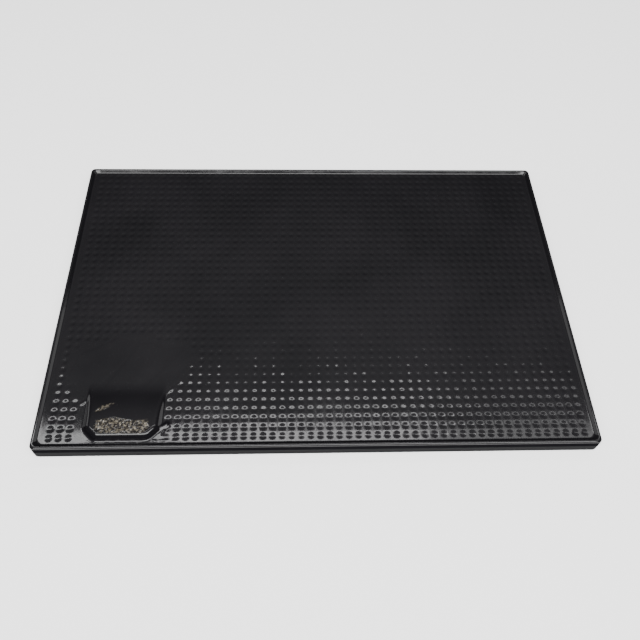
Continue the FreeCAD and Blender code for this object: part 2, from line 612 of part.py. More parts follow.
def make_leads():
    """Leads, crimps, fuse, seals and the earth bond inside and beside the junction bay."""
    pole = [value_of("(block_front + block_back) / 2 + pole_pitch * %d" % step) for step in (-1, 0, 1)]
    level, start = dim("pole_level"), dim("block_right") - 3.5
    cable, run, entry = dim("cable_level"), dim("run_front"), dim("return_entry")
    fuse_x, fuse_y, fuse_level = dim("block_right") + 4.5, dim("bay_front") + 4.3, level - dim("fuse_drop")
    fuse_end = fuse_x + dim("fuse_length")
    low, high = value_of(LEAD_LOW), value_of(LEAD_HIGH)
    tail_x, cut_y = dim("cut_left") - 2, dim("cut_y")
    crimp_start, crimp_end = dim("bay_right") - 16, dim("bay_left") + 14
    wire, fine = dim("lead_radius"), dim("fine_lead_radius")
    routes = {
        "live_lead": (fine, 1.6, [(start, pole[0], level), (fuse_x - 2.6, pole[0], level),
                                  (fuse_x - 2.6, fuse_y, fuse_level), (fuse_x, fuse_y, fuse_level)]),
        "fuse_lead": (fine, 1.6, [(fuse_end, fuse_y, fuse_level), (fuse_end + 2, fuse_y, fuse_level),
                                  (fuse_end + 3.5, cut_y - 2.3, low), (tail_x, cut_y - 2.3, low)]),
        "cutout_lead": (fine, 2.0, [(tail_x, cut_y + 2.3, high), (tail_x - 17, cut_y + 2.3, high),
                                    (crimp_start - 6, run - 8, cable), (crimp_start - 6, run, cable),
                                    (crimp_start, run, cable)]),
        "neutral_lead": (wire, 2.2, [(start, pole[2], level), (start + 8, pole[2], level),
                                     (start + 8, entry, cable), (crimp_end, entry, cable)]),
        "earth_lead": (wire, 2.4, [(start, pole[1], level), (start + 7, pole[1], level),
                                   (start + 10, pole[1] + 5, level - 3.2),
                                   (start + 6, pole[1] + 14, level - 3.2),
                                   (dim("earth_x"), dim("bay_back") - 5.5, dim("earth_level")),
                                   (dim("earth_x"), dim("earth_y") - 6.6, dim("earth_level"))]),
    }
    for label, (radius, bend, points) in routes.items():
        free_shape(label, swept(lead_path(points, bend), radius))
    crimp_length = dim("crimp_length")
    crimps = [cylinder("crimp_start", crimp_start, "run_front", "cable_level",
                       "crimp_radius", "crimp_length", X_AXIS),
              cylinder("crimp_end", crimp_end - crimp_length, "return_entry", "cable_level",
                       "crimp_radius", "crimp_length", X_AXIS)]
    group("crimp_splices", crimps)
    cylinder("thermal_fuse", fuse_x, fuse_y, fuse_level, "fuse_radius", "fuse_length", X_AXIS)
    seals = []
    for name, x, y in (("start", dim("bay_right") - dim("bay_wall"), run), ("end", dim("bay_left"), entry)):
        ring = Part.makeCylinder(dim("seal_radius"), dim("bay_wall"), Vector(x, y, cable), X_AXIS)
        ring = ring.cut(Part.makeCylinder(dim("cable_radius") + 0.02, 4, Vector(x - 1, y, cable), X_AXIS))
        seals.append(free_shape("seal_" + name, ring))
    group("cable_entry_seals", seals)


def make_earth_bond():
    """Ring terminal and screw that bond the earth lead to the plate."""
    ring = cylinder("ring_disc", "earth_x", "earth_y", "%s - tab_thick" % PLATE_LOW, 3.2, "tab_thick")
    tongue = box("ring_tongue", "earth_x - 1.2", "earth_y - 5.6", "%s - tab_thick" % PLATE_LOW,
                 2.4, 4, "tab_thick")
    barrel = cylinder("ring_barrel", "earth_x", "earth_y - 6.6", "earth_level", "crimp_radius", 3.0, Y_AXIS)
    hole = cylinder("ring_hole", "earth_x", "earth_y", "%s - 2" % PLATE_LOW, "earth_hole_radius + 0.05", 4)
    cut("earth_ring", fuse("ring_blank", [ring, tongue, barrel]), [hole])
    shank = cylinder("earth_shank", "earth_x", "earth_y", "%s - tab_thick - 0.1" % PLATE_LOW,
                     "earth_hole_radius", "plate_thick + tab_thick + 0.1")
    head = cylinder("earth_head", "earth_x", "earth_y", "%s - tab_thick - 1.8" % PLATE_LOW, 2.8, 1.8)
    slot = box("earth_slot", "earth_x - 3", "earth_y - 0.4", "%s - tab_thick - 2.2" % PLATE_LOW, 6, 0.8, 1.2)
    cut("earth_screw", fuse("earth_screw_blank", [shank, head]), [slot])


def make_underside():
    """Rubber feet and the blank rating label."""
    group("rubber_feet", [cylinder("foot_%d" % index, x, y, 0, "foot_radius", "foot_stand + foot_recess")
                          for index, (x, y) in enumerate(foot_places())])
    box("rating_label", "label_left + 0.2", "label_front + 0.2", "foot_stand", "label_length - 0.4",
        "label_width - 0.4", "label_sink")


# ---------------------------------------------------------------- nodes
NODES = [
    "base_tray", "insulation_board", "reflector_foil", "heating_cable_sheath", "heating_cable_core",
    "cable_hold_strips", "spreader_plate", "patch_tape_left", "patch_tape_centre", "patch_tape_right",
    "top_skin",
    "junction_housing", "junction_gasket", "junction_lid", "lid_screws", "inlet_gland", "terminal_block",
    "terminal_inserts", "terminal_screws", "cable_entry_seals", "crimp_splices", "live_lead", "fuse_lead",
    "cutout_lead", "neutral_lead", "earth_lead", "thermal_fuse", "earth_ring", "earth_screw", "cutout_can",
    "cutout_plug", "cutout_fixed_strip", "cutout_arm_root", "cutout_bimetal_arm", "cutout_moving_contact",
    "rubber_feet", "rating_label",
]

make_base_tray()
make_top_skin([free_shape("room_for_" + patch.Label, patch.Shape.copy()) for patch in make_patches()])
make_spreader_plate()
make_heating_layer()
make_junction_housing()
make_junction_lid()
make_lid_fittings()
make_inlet_gland()
make_terminals()
make_cutout()
make_leads()
make_earth_bond()
make_underside()
doc.recompute()

for obj in doc.Objects:
    if "Invalid" in obj.State or "Error" in obj.State:
        raise RuntimeError("%s failed: %s" % (obj.Label, obj.State))

for node in NODES:
    shape = doc.getObjectsByLabel(node)[0].Shape
    if shape.isNull() or not shape.isValid() or shape.Volume <= 0:
        raise RuntimeError("%s has no valid solid" % node)
    shape.exportStep("parts/%s.step" % node)
    bounds = shape.BoundBox
    print("%-22s solids %2d  volume %10.1f  z %6.2f to %6.2f" % (
        node, len(shape.Solids), shape.Volume, bounds.ZMin, bounds.ZMax))
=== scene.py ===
"""Looks of a seedling heat mat: an embossed glossy skin, a perforated plate, a moulded tray and its wiring.

World units are metres. Sizes inside the classes are millimetres in the frame of the design: the origin is the
centre of the mat on the surface it stands on, +X along the long side, +Y from front to back, +Z up.
"""
import logging
import math
from dataclasses import dataclass, field
from typing import Any

import bmesh
import bpy
import numpy as np
from mathutils import Matrix, Vector


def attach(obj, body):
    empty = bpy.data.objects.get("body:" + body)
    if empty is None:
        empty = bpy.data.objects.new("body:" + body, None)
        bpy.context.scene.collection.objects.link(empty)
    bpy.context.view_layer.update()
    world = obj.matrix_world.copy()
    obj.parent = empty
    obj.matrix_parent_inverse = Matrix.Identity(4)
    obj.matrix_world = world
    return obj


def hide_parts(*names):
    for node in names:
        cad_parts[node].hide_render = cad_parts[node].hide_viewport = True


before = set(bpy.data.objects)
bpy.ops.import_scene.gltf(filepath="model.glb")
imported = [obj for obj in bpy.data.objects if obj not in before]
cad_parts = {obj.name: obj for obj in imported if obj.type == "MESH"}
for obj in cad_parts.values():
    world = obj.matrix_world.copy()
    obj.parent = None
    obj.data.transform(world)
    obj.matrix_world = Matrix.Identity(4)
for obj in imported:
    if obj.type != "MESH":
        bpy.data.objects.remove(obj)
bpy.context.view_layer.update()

MM = 0.001
ROOT_BODY = "mat"
log = logging.getLogger("heat_mat")

Colour = tuple[float, float, float]
Array = np.ndarray
Stops = list[tuple[float, float]] | tuple[tuple[float, float], ...]


# ---------------------------------------------------------------- shader sheets
class Signal:
    """An output socket that takes part in arithmetic."""

    def __init__(self, sheet: "ShaderSheet", socket: bpy.types.NodeSocket) -> None:
        """Wrap one socket of a sheet."""
        self.sheet = sheet
        self.socket = socket

    def combine(self, operation: str, first: Any, second: Any) -> "Signal":
        """Add a Math node for two values, either of which may be a number."""
        return self.sheet.add("ShaderNodeMath", {"operation": operation}, {0: first, 1: second})

    def __add__(self, other: Any) -> "Signal":
        """Sum of two values."""
        return self.combine("ADD", self, other)

    __radd__ = __add__

    def __sub__(self, other: Any) -> "Signal":
        """Difference of two values."""
        return self.combine("SUBTRACT", self, other)

    def __rsub__(self, other: Any) -> "Signal":
        """Difference of two values, the other one first."""
        return self.combine("SUBTRACT", other, self)

    def __mul__(self, other: Any) -> "Signal":
        """Product of two values."""
        return self.combine("MULTIPLY", self, other)

    __rmul__ = __mul__

    def absolute(self) -> "Signal":
        """Size of a value without its sign."""
        return self.combine("ABSOLUTE", self, 0.0)

    def maximum(self, other: Any) -> "Signal":
        """Larger of two values."""
        return self.combine("MAXIMUM", self, other)


class ShaderSheet:
    """The node tree of one material."""

    def __init__(self, name: str) -> None:
        """Start a material that holds only its output and one Principled shader.

        Args:
            name: name of the material.
        """
        self.material = bpy.data.materials.new(name)
        self.material.use_nodes = True
        self.tree = self.material.node_tree
        self.shader = next(node for node in self.tree.nodes if node.type == "BSDF_PRINCIPLED")

    def add(self, kind: str, settings: dict[str, Any], sockets: dict[Any, Any], out: Any = 0) -> Signal:
        """Add any node.

        Args:
            kind: Blender's type of the node.
            settings: properties of the node, set first; "stops" holds the stops of a ramp.
            sockets: numbers, colours or signals for its inputs, by name or number.
            out: name or number of the output to return.

        Returns:
            The chosen output.
        """
        node = self.tree.nodes.new(kind)
        for key, value in settings.items():
            if key == "stops":
                self.set_stops(node.color_ramp, value)
            else:
                setattr(node, key, value)
        for key, value in sockets.items():
            if isinstance(value, Signal):
                self.tree.links.new(value.socket, node.inputs[key])
            else:
                node.inputs[key].default_value = value
        return Signal(self, node.outputs[out])

    @staticmethod
    def set_stops(ramp: bpy.types.ColorRamp, stops: Stops) -> None:
        """Set a grey ramp from pairs of place and value."""
        while len(ramp.elements) < len(stops):
            ramp.elements.new(1.0)
        for element, (place, value) in zip(ramp.elements, stops):
            element.position = place
            element.color = (value, value, value, 1.0)

    def place(self, scale: tuple[float, float, float] = (1.0, 1.0, 1.0)) -> Signal:
        """Object coordinates, stretched by a scale along each axis."""
        spot = self.add("ShaderNodeTexCoord", {}, {}, "Object")
        return self.add("ShaderNodeMapping", {}, {"Vector": spot, "Scale": scale})

    def noise(self, size: float, detail: float = 2.0, where: Signal | None = None) -> Signal:
        """Noise whose lumps are a given number of millimetres across.

        Args:
            size: size of the lumps.
            detail: how many finer layers are added.
            where: coordinates to use, or nothing for those of the object.

        Returns:
            The noise, from 0 to 1.
        """
        spot = where or self.place()
        sockets = {"Vector": spot, "Scale": 1.0 / (size * MM), "Detail": detail}
        return self.add("ShaderNodeTexNoise", {}, sockets)

    def ramp(self, value: Signal, stops: Stops) -> Signal:
        """Reshape a value by a grey ramp."""
        return self.add("ShaderNodeValToRGB", {"stops": stops}, {0: value})

    def blend(self, share: Signal, first: Colour | Signal, second: Colour | Signal) -> Signal:
        """Mix two colours by a share."""
        pair = [value if isinstance(value, Signal) else (*value, 1.0) for value in (first, second)]
        return self.add("ShaderNodeMix", {"data_type": "RGBA"}, {0: share, 6: pair[0], 7: pair[1]}, 2)

    def bump(self, height: Signal, depth: float, under: Signal | None = None) -> Signal:
        """Bump a surface by a height that is depth millimetres from lowest to highest.

        Args:
            height: height over the surface, from 0 to 1.
            depth: millimetres from the lowest to the highest place.
            under: a normal that this relief is added to.

        Returns:
            The bumped normal.
        """
        sockets: dict[Any, Any] = {"Height": height, "Distance": depth * MM, "Strength": 1.0}
        if under is not None:
            sockets["Normal"] = under
        return self.add("ShaderNodeBump", {}, sockets)

    def dress(self, **sockets: Any) -> bpy.types.Material:
        """Feed the Principled shader: numbers are set on it, signals are linked to it.

        Returns:
            The finished material.
        """
        for key, value in sockets.items():
            target = self.shader.inputs[key.replace("_", " ")]
            if isinstance(value, Signal):
                self.tree.links.new(value.socket, target)
            else:
                target.default_value = value
        return self.material


# ---------------------------------------------------------------- finishes
@dataclass(frozen=True)
class Finish:
    """A finish: two close colours, a gloss that varies and a fine relief."""

    name: str
    colour: Colour
    shade: Colour
    gloss: tuple[float, float] = (0.35, 0.5)
    grain: float = 0.6
    relief: float = 0.03
    specular: float = 0.5

    def material(self) -> bpy.types.Material:
        """The material, made once."""
        made = bpy.data.materials.get(self.name)
        return made or self.build(ShaderSheet(self.name))

    def build(self, sheet: ShaderSheet) -> bpy.types.Material:
        """Build the material on an empty sheet."""
        raise NotImplementedError

    def vary(self, sheet: ShaderSheet, value: Signal) -> dict[str, Any]:
        """Colour and roughness that follow one value between their two ends, and how much is mirrored."""
        low, high = self.gloss
        return {"Base_Color": sheet.blend(value, self.shade, self.colour),
                "Roughness": value * (high - low) + low, "Specular_IOR_Level": self.specular}


@dataclass(frozen=True)
class MouldedPlastic(Finish):
    """Moulded plastic or rubber with a fine spark-eroded grain and faint cloudiness."""

    def build(self, sheet: ShaderSheet) -> bpy.types.Material:
        """Build the material on an empty sheet.

        Args:
            sheet: the empty sheet of the material.

        Returns:
            The finished material.
        """
        clouds = sheet.ramp(sheet.noise(25.0), [(0.3, 0.0), (0.7, 1.0)])
        relief = sheet.bump(sheet.noise(self.grain), self.relief)
        return sheet.dress(**self.vary(sheet, clouds), Normal=relief)


@dataclass(frozen=True)
class DrawnMetal(Finish):
    """Rolled or drawn metal with long fine lines along X."""

    def build(self, sheet: ShaderSheet) -> bpy.types.Material:
        """Build the material on an empty sheet.

        Args:
            sheet: the empty sheet of the material.

        Returns:
            The finished material.
        """
        lines = sheet.noise(self.grain, 3.0, sheet.place((0.06, 1.0, 1.0)))
        stain = sheet.ramp(sheet.noise(12.0), [(0.35, 0.0), (0.65, 1.0)])
        return sheet.dress(**self.vary(sheet, stain), Metallic=1.0, Normal=sheet.bump(lines, self.relief))


@dataclass(frozen=True)
class PerforatedMetal(DrawnMetal):
    """Drawn metal with round holes on a square lattice."""

    pitch: float = 10.12
    first_x: float = -282.6
    first_y: float = -186.8
    hole: float = 3.4

    def build(self, sheet: ShaderSheet) -> bpy.types.Material:
        """Build the material on an empty sheet.

        Args:
            sheet: the empty sheet of the material.

        Returns:
            The finished material.
        """
        spot = sheet.place((1.0 / (self.pitch * MM),) * 3)
        away = []
        for axis, first in (("X", self.first_x), ("Y", self.first_y)):
            place = sheet.add("ShaderNodeSeparateXYZ", {}, {0: spot}, axis)
            cells = place + (0.5 - first / self.pitch)
            share = sheet.add("ShaderNodeMath", {"operation": "FRACT"}, {0: cells})
            away.append((share - 0.5) * (share - 0.5))
        edge = (self.hole / self.pitch) ** 2
        sheet.dress(Alpha=sheet.ramp(away[0] + away[1], [(edge * 0.96, 0.0), (edge, 1.0)]))
        return super().build(sheet)


@dataclass(frozen=True)
class CrumpledFoil(Finish):
    """Thin foil with flat facets between creases."""

    def build(self, sheet: ShaderSheet) -> bpy.types.Material:
        """Build the material on an empty sheet.

        Args:
            sheet: the empty sheet of the material.

        Returns:
            The finished material.
        """
        cells = sheet.add("ShaderNodeTexVoronoi", {"feature": "SMOOTH_F1"},
                          {"Vector": sheet.place(), "Scale": 1.0 / (self.grain * MM), "Smoothness": 0.3})
        stain = sheet.ramp(sheet.noise(9.0), [(0.35, 0.0), (0.65, 1.0)])
        return sheet.dress(**self.vary(sheet, stain), Metallic=1.0, Normal=sheet.bump(cells, self.relief))


@dataclass(frozen=True)
class FoamBoard(Finish):
    """Moulded foam whose beads press flat against each other."""

    def build(self, sheet: ShaderSheet) -> bpy.types.Material:
        """Build the material on an empty sheet.

        Args:
            sheet: the empty sheet of the material.

        Returns:
            The finished material.
        """
        beads = sheet.add("ShaderNodeTexVoronoi", {"feature": "F1"},
                          {"Vector": sheet.place(), "Scale": 1.0 / (self.grain * MM)})
        joints = sheet.ramp(beads, [(0.25, 1.0), (0.8, 0.0)])
        return sheet.dress(**self.vary(sheet, joints), Normal=sheet.bump(joints, self.relief))


@dataclass(frozen=True)
class GlossySkin(Finish):
    """Glossy vacuum-formed skin: slow waves, orange peel, dull clouds, dust and foil where it is thin."""

    foil_colour: Colour = (0.55, 0.48, 0.36)
    foil_shine: float = 0.8
    foil_bright: float = 0.36
    foil_dim: float = 0.02
    dust_colour: Colour = (0.3, 0.3, 0.32)
    dust_cover: float = 0.12
    dust_dull: float = 0.2
    wave: float = 38.0
    wave_height: float = 0.3

    def build(self, sheet: ShaderSheet) -> bpy.types.Material:
        """Build the material on an empty sheet.

        Args:
            sheet: the empty sheet of the material.

        Returns:
            The finished material.
        """
        clouds = sheet.ramp(sheet.noise(90.0, 3.0), [(0.35, 0.0), (0.65, 1.0)])
        fine = sheet.ramp(sheet.noise(6.0, 4.0), [(0.3, 0.0), (0.75, 1.0)])
        dust = sheet.ramp(sheet.noise(0.7, 2.0), [(0.7, 0.0), (0.78, 1.0)])
        foil = sheet.add("ShaderNodeAttribute", {"attribute_name": "foil"}, {}, "Fac")
        tone = sheet.ramp(sheet.noise(2.6, 3.0), [(0.47, 0.0), (0.66, 1.0)])
        show = foil * (tone * self.foil_bright + self.foil_dim)
        plain = sheet.blend(clouds, self.shade, self.colour)
        dusty = sheet.blend(dust * self.dust_cover, plain, self.dust_colour)
        colour = sheet.blend(show, dusty, self.foil_colour)
        low, high = self.gloss
        roughness = (clouds * 0.5 + fine * 0.5) * (high - low) + low + dust * self.dust_dull
        waves = sheet.bump(sheet.noise(self.wave, 1.5), self.wave_height)
        peel = sheet.bump(sheet.noise(self.grain, 1.0), self.relief, waves)
        return sheet.dress(Base_Color=colour, Roughness=roughness, Metallic=show * self.foil_shine,
                           Normal=peel, Specular_IOR_Level=self.specular)


@dataclass(frozen=True)
class PrintedBlank(Finish):
    """Satin label stock with nothing printed on it but a plain border."""

    half: tuple[float, float] = (32.0, 17.0)
    centre: tuple[float, float] = (185.0, -40.0)
    border: tuple[tuple[float, float], ...] = ((0.9, 0.0), (0.905, 1.0), (0.955, 1.0), (0.96, 0.0))
    ink: Colour = (0.08, 0.08, 0.085)

    def build(self, sheet: ShaderSheet) -> bpy.types.Material:
        """Build the material on an empty sheet.

        Args:
            sheet: the empty sheet of the material.

        Returns:
            The finished material.
        """
        spot = sheet.add("ShaderNodeTexCoord", {}, {}, "Object")
        reach = []
        for axis, centre, half in zip("XY", self.centre, self.half):
            place = sheet.add("ShaderNodeSeparateXYZ", {}, {0: spot}, axis)
            reach.append((place - centre * MM).absolute() * (1.0 / (half * MM)))
        line = sheet.ramp(reach[0].maximum(reach[1]), self.border)
        fibres = sheet.noise(self.grain, 3.0)
        colour = sheet.blend(line, sheet.blend(fibres, self.shade, self.colour), self.ink)
        low, high = self.gloss
        return sheet.dress(Base_Color=colour, Roughness=fibres * (high - low) + low,
                           Normal=sheet.bump(fibres, self.relief))


SKIN = GlossySkin("skin_gloss", (0.0094, 0.0086, 0.0104), (0.006, 0.0056, 0.007), (0.07, 0.13), 1.6, 0.004)
SKIRT = GlossySkin("skirt_satin", (0.0095, 0.009, 0.0105), (0.0065, 0.0062, 0.0075), (0.35, 0.45), 1.2, 0.01,
                   specular=0.0)
TRAY = MouldedPlastic("tray_black", (0.0125, 0.0125, 0.0135), (0.008, 0.008, 0.009), (0.3, 0.42), 0.5, 0.02,
                      specular=0.006)
HOUSING = MouldedPlastic("housing_black", (0.02, 0.02, 0.021), (0.014, 0.014, 0.015), (0.38, 0.5))
RUBBER = MouldedPlastic("foot_rubber", (0.016, 0.016, 0.016), (0.010, 0.010, 0.010), (0.6, 0.75), 0.8, 0.05)
GLAND = MouldedPlastic("gland_rubber", (0.014, 0.014, 0.014), (0.009, 0.009, 0.009), (0.5, 0.65), 0.6, 0.04)
GASKET = MouldedPlastic("gasket_sponge", (0.03, 0.03, 0.03), (0.02, 0.02, 0.02), (0.7, 0.85), 0.5, 0.08)
FOAM = FoamBoard("foam_board", (0.82, 0.81, 0.75), (0.62, 0.6, 0.53), (0.7, 0.85), 2.6, 0.12)
FOIL = CrumpledFoil("reflector_foil", (0.82, 0.82, 0.84), (0.66, 0.66, 0.68), (0.18, 0.32), 7.0, 0.2)
TAPE = CrumpledFoil("foil_tape", (0.78, 0.77, 0.74), (0.62, 0.6, 0.56), (0.22, 0.38), 4.0, 0.1)
PLATE = PerforatedMetal("spreader_aluminium", (0.74, 0.75, 0.77), (0.6, 0.61, 0.63), (0.28, 0.42), 0.5, 0.02)
STEEL = DrawnMetal("zinc_steel", (0.6, 0.6, 0.62), (0.45, 0.45, 0.46), (0.25, 0.4), 0.2, 0.01)
BRASS = DrawnMetal("terminal_brass", (0.78, 0.58, 0.26), (0.6, 0.42, 0.18), (0.22, 0.36), 0.2, 0.01)
BIMETAL = DrawnMetal("bimetal_strip", (0.62, 0.56, 0.48), (0.5, 0.44, 0.37), (0.2, 0.3), 0.2, 0.008)
SILVER = DrawnMetal("contact_silver", (0.88, 0.87, 0.85), (0.75, 0.74, 0.72), (0.15, 0.28), 0.2, 0.008)
CRIMP = DrawnMetal("tinned_crimp", (0.72, 0.71, 0.68), (0.56, 0.55, 0.52), (0.25, 0.38), 0.2, 0.01)
CORE = DrawnMetal("resistance_wire", (0.56, 0.54, 0.5), (0.42, 0.4, 0.37), (0.25, 0.35), 0.2, 0.01)
JACKET = MouldedPlastic("cable_silicone", (0.52, 0.07, 0.05), (0.4, 0.045, 0.03), (0.4, 0.52), 0.6, 0.02)
BLOCK = MouldedPlastic("terminal_nylon", (0.8, 0.8, 0.77), (0.7, 0.7, 0.66), (0.4, 0.5), 0.5, 0.015)
LIVE = MouldedPlastic("lead_brown", (0.17, 0.065, 0.03), (0.13, 0.05, 0.02), (0.35, 0.45), 0.6, 0.01)
NEUTRAL = MouldedPlastic("lead_blue", (0.02, 0.09, 0.4), (0.015, 0.06, 0.3), (0.35, 0.45), 0.6, 0.01)
EARTH = MouldedPlastic("lead_green", (0.12, 0.38, 0.05), (0.09, 0.28, 0.04), (0.35, 0.45), 0.6, 0.01)
FUSE = MouldedPlastic("fuse_ceramic", (0.7, 0.66, 0.58), (0.6, 0.56, 0.48), (0.3, 0.45), 0.5, 0.01)
PLUG = MouldedPlastic("cutout_resin", (0.09, 0.035, 0.02), (0.06, 0.022, 0.012), (0.35, 0.5), 0.4, 0.02)
LABEL = PrintedBlank("blank_label", (0.5, 0.51, 0.53), (0.44, 0.45, 0.47), (0.3, 0.5), 0.5, 0.004)

NODE_FINISHES: dict[Finish, tuple[str, ...]] = {
    SKIN: ("top_skin",),
    TRAY: ("base_tray",),
    HOUSING: ("junction_housing", "junction_lid"),
    RUBBER: ("rubber_feet",),
    GLAND: ("inlet_gland",),
    GASKET: ("junction_gasket", "cable_entry_seals"),
    FOAM: ("insulation_board",),
    FOIL: ("reflector_foil",),
    TAPE: ("patch_tape_left", "patch_tape_centre", "patch_tape_right", "cable_hold_strips"),
    PLATE: ("spreader_plate",),
    STEEL: ("lid_screws", "terminal_screws", "earth_screw", "cutout_can"),
    BRASS: ("terminal_inserts", "cutout_fixed_strip", "cutout_arm_root"),
    CRIMP: ("crimp_splices", "earth_ring"),
    BIMETAL: ("cutout_bimetal_arm",),
    SILVER: ("cutout_moving_contact",),
    CORE: ("heating_cable_core",),
    JACKET: ("heating_cable_sheath",),
    BLOCK: ("terminal_block",),
    LIVE: ("live_lead", "fuse_lead", "cutout_lead"),
    NEUTRAL: ("neutral_lead",),
    EARTH: ("earth_lead",),
    FUSE: ("thermal_fuse",),
    PLUG: ("cutout_plug",),
    LABEL: ("rating_label",),
}


# ---------------------------------------------------------------- mesh helpers
def new_piece(name: str, mesh: bpy.types.Mesh, sharp_degrees: float = 50.0) -> bpy.types.Object:
    """Put a finished mesh into the scene as a smooth-shaded object at the origin.

    Args:
        name: name of the piece.
        mesh: its mesh, in metres.
        sharp_degrees: edges that turn by more than this stay sharp.

    Returns:
        The new object.
    """
    mesh.name = name
    mesh.shade_smooth()
    mesh.set_sharp_from_angle(angle=math.radians(sharp_degrees))
    piece = bpy.data.objects.new(name, mesh)
    bpy.context.scene.collection.objects.link(piece)
    return piece


def finish_piece(piece: bpy.types.Object, finish: Finish, nodes: tuple[str, ...]) -> None:
    """Dress a piece, fix it to the mat and log it.

    Args:
        piece: the object.
        finish: its finish.
        nodes: design nodes that it stands for.
    """
    piece.data.materials.clear()
    piece.data.materials.append(finish.material())
    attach(piece, ROOT_BODY)
    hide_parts(*nodes)
    triangles = sum(len(face.vertices) - 2 for face in piece.data.polygons)
    log.info("%s: %d triangles, finish %s", piece.name, triangles, finish.name)


def smooth_step(value: Array, low: float, high: float) -> Array:
    """Rise smoothly from 0 at low to 1 at high."""
    share = np.clip((value - low) / (high - low), 0.0, 1.0)
    return share * share * (3.0 - 2.0 * share)


def soft_min(first: Array, second: Array, round_off: float) -> Array:
    """Smaller of two values, with the corner between them rounded off."""
    overlap = np.maximum(round_off - np.abs(first - second), 0.0)
    return np.minimum(first, second) - overlap * overlap / (4.0 * round_off)


def soft_max(first: Array, second: Array, round_off: float) -> Array:
    """Larger of two values, with the corner between them filled."""
    return -soft_min(-first, -second, round_off)


def distance_inside(x: Array, y: Array, outline: list[tuple[float, float]]) -> Array:
    """Distance to a closed outline, positive inside it and negative outside.

    Args:
        x: places along X, from the left edge.
        y: places along Y, from the front edge.
        outline: corners of the outline, in order.

    Returns:
        One distance for each point.
    """
    nearest = np.full(np.shape(x), np.inf)
    inside = np.zeros(np.shape(x), bool)
    for (ax, ay), (bx, by) in zip(outline, outline[1:] + outline[:1]):
        ex, ey = bx - ax, by - ay
        share = np.clip(((x - ax) * ex + (y - ay) * ey) / (ex * ex + ey * ey), 0.0, 1.0)
        nearest = np.minimum(nearest, np.hypot(x - ax - share * ex, y - ay - share * ey))
        if ay != by:
            inside ^= ((y < ay) != (y < by)) & (x < ax + (y - ay) / (by - ay) * ex)
    return np.where(inside, nearest, -nearest)


class Ripple:
    """Smooth random relief from a fixed seed."""

    def __init__(self, cell: float, seed: int, size: int = 160) -> None:
        """Draw a square table of random values.

        Args:
            cell: millimetres from one value to the next.
            seed: seed of the draw.
            size: values along each side, after which the table repeats.
        """
        self.cell = cell
        self.size = size
        self.table = np.random.default_rng(seed).uniform(-1.0, 1.0, (size, size))

    def __call__(self, x: Array, y: Array, turn: float = 0.0, stretch: float = 1.0) -> Array:
        """Relief from -1 to 1 at each point.

        Args:
            x: places along X in millimetres.
            y: places along Y in millimetres.
            turn: angle of the long way of the lumps, in degrees.
            stretch: how many times longer than wide the lumps are.

        Returns:
            One value for each point.
        """
        angle = math.radians(turn)
        u = (x * math.cos(angle) + y * math.sin(angle)) / (self.cell * stretch)
        v = (y * math.cos(angle) - x * math.sin(angle)) / self.cell
        u, v = u + 1000.0, v + 1000.0
        iu, iv = np.floor(u).astype(int), np.floor(v).astype(int)
        fu, fv = smooth_step(u - iu, 0.0, 1.0), smooth_step(v - iv, 0.0, 1.0)
        corners = [[self.table[(iu + a) % self.size, (iv + b) % self.size] for b in (0, 1)] for a in (0, 1)]
        near = corners[0][0] * (1 - fv) + corners[0][1] * fv
        far = corners[1][0] * (1 - fv) + corners[1][1] * fv
        return near * (1 - fu) + far * fu


# ---------------------------------------------------------------- skin
@dataclass(frozen=True)
class Levels:
    """Heights of the skin's main lines above the surface that the mat stands on, and its thickness."""

    seam: float = 14.0
    notch_top: float = 17.6
    field: float = 20.1
    lip_top: float = 23.6
    skin: float = 1.1


LEVELS = Levels()


@dataclass
class Lattice:
    """The even rows of dimples, measured from the mat's left and front edges."""

    half_length: float = 300.0
    half_width: float = 200.0
    pitch: float = 10.12
    columns: int = 57
    rows: int = 38
    first_x: float = 17.4
    first_y: float = 13.2
    patch_columns: int = 16
    patch_rows: int = 14

    def column_edge(self, column: int) -> float:
        """Left border of a column of cells."""
        return self.first_x + (column - 0.5) * self.pitch

    def row_edge(self, row: int) -> float:
        """Front border of a row of cells."""
        return self.first_y + (row - 0.5) * self.pitch

    def column_edges(self, start: int = 0) -> list[float]:
        """Borders of the columns from one column on."""
        return [self.column_edge(column) for column in range(start, self.columns + 1)]

    def row_edges(self, start: int = 0) -> list[float]:
        """Borders of the rows from one row on."""
        return [self.row_edge(row) for row in range(start, self.rows + 1)]


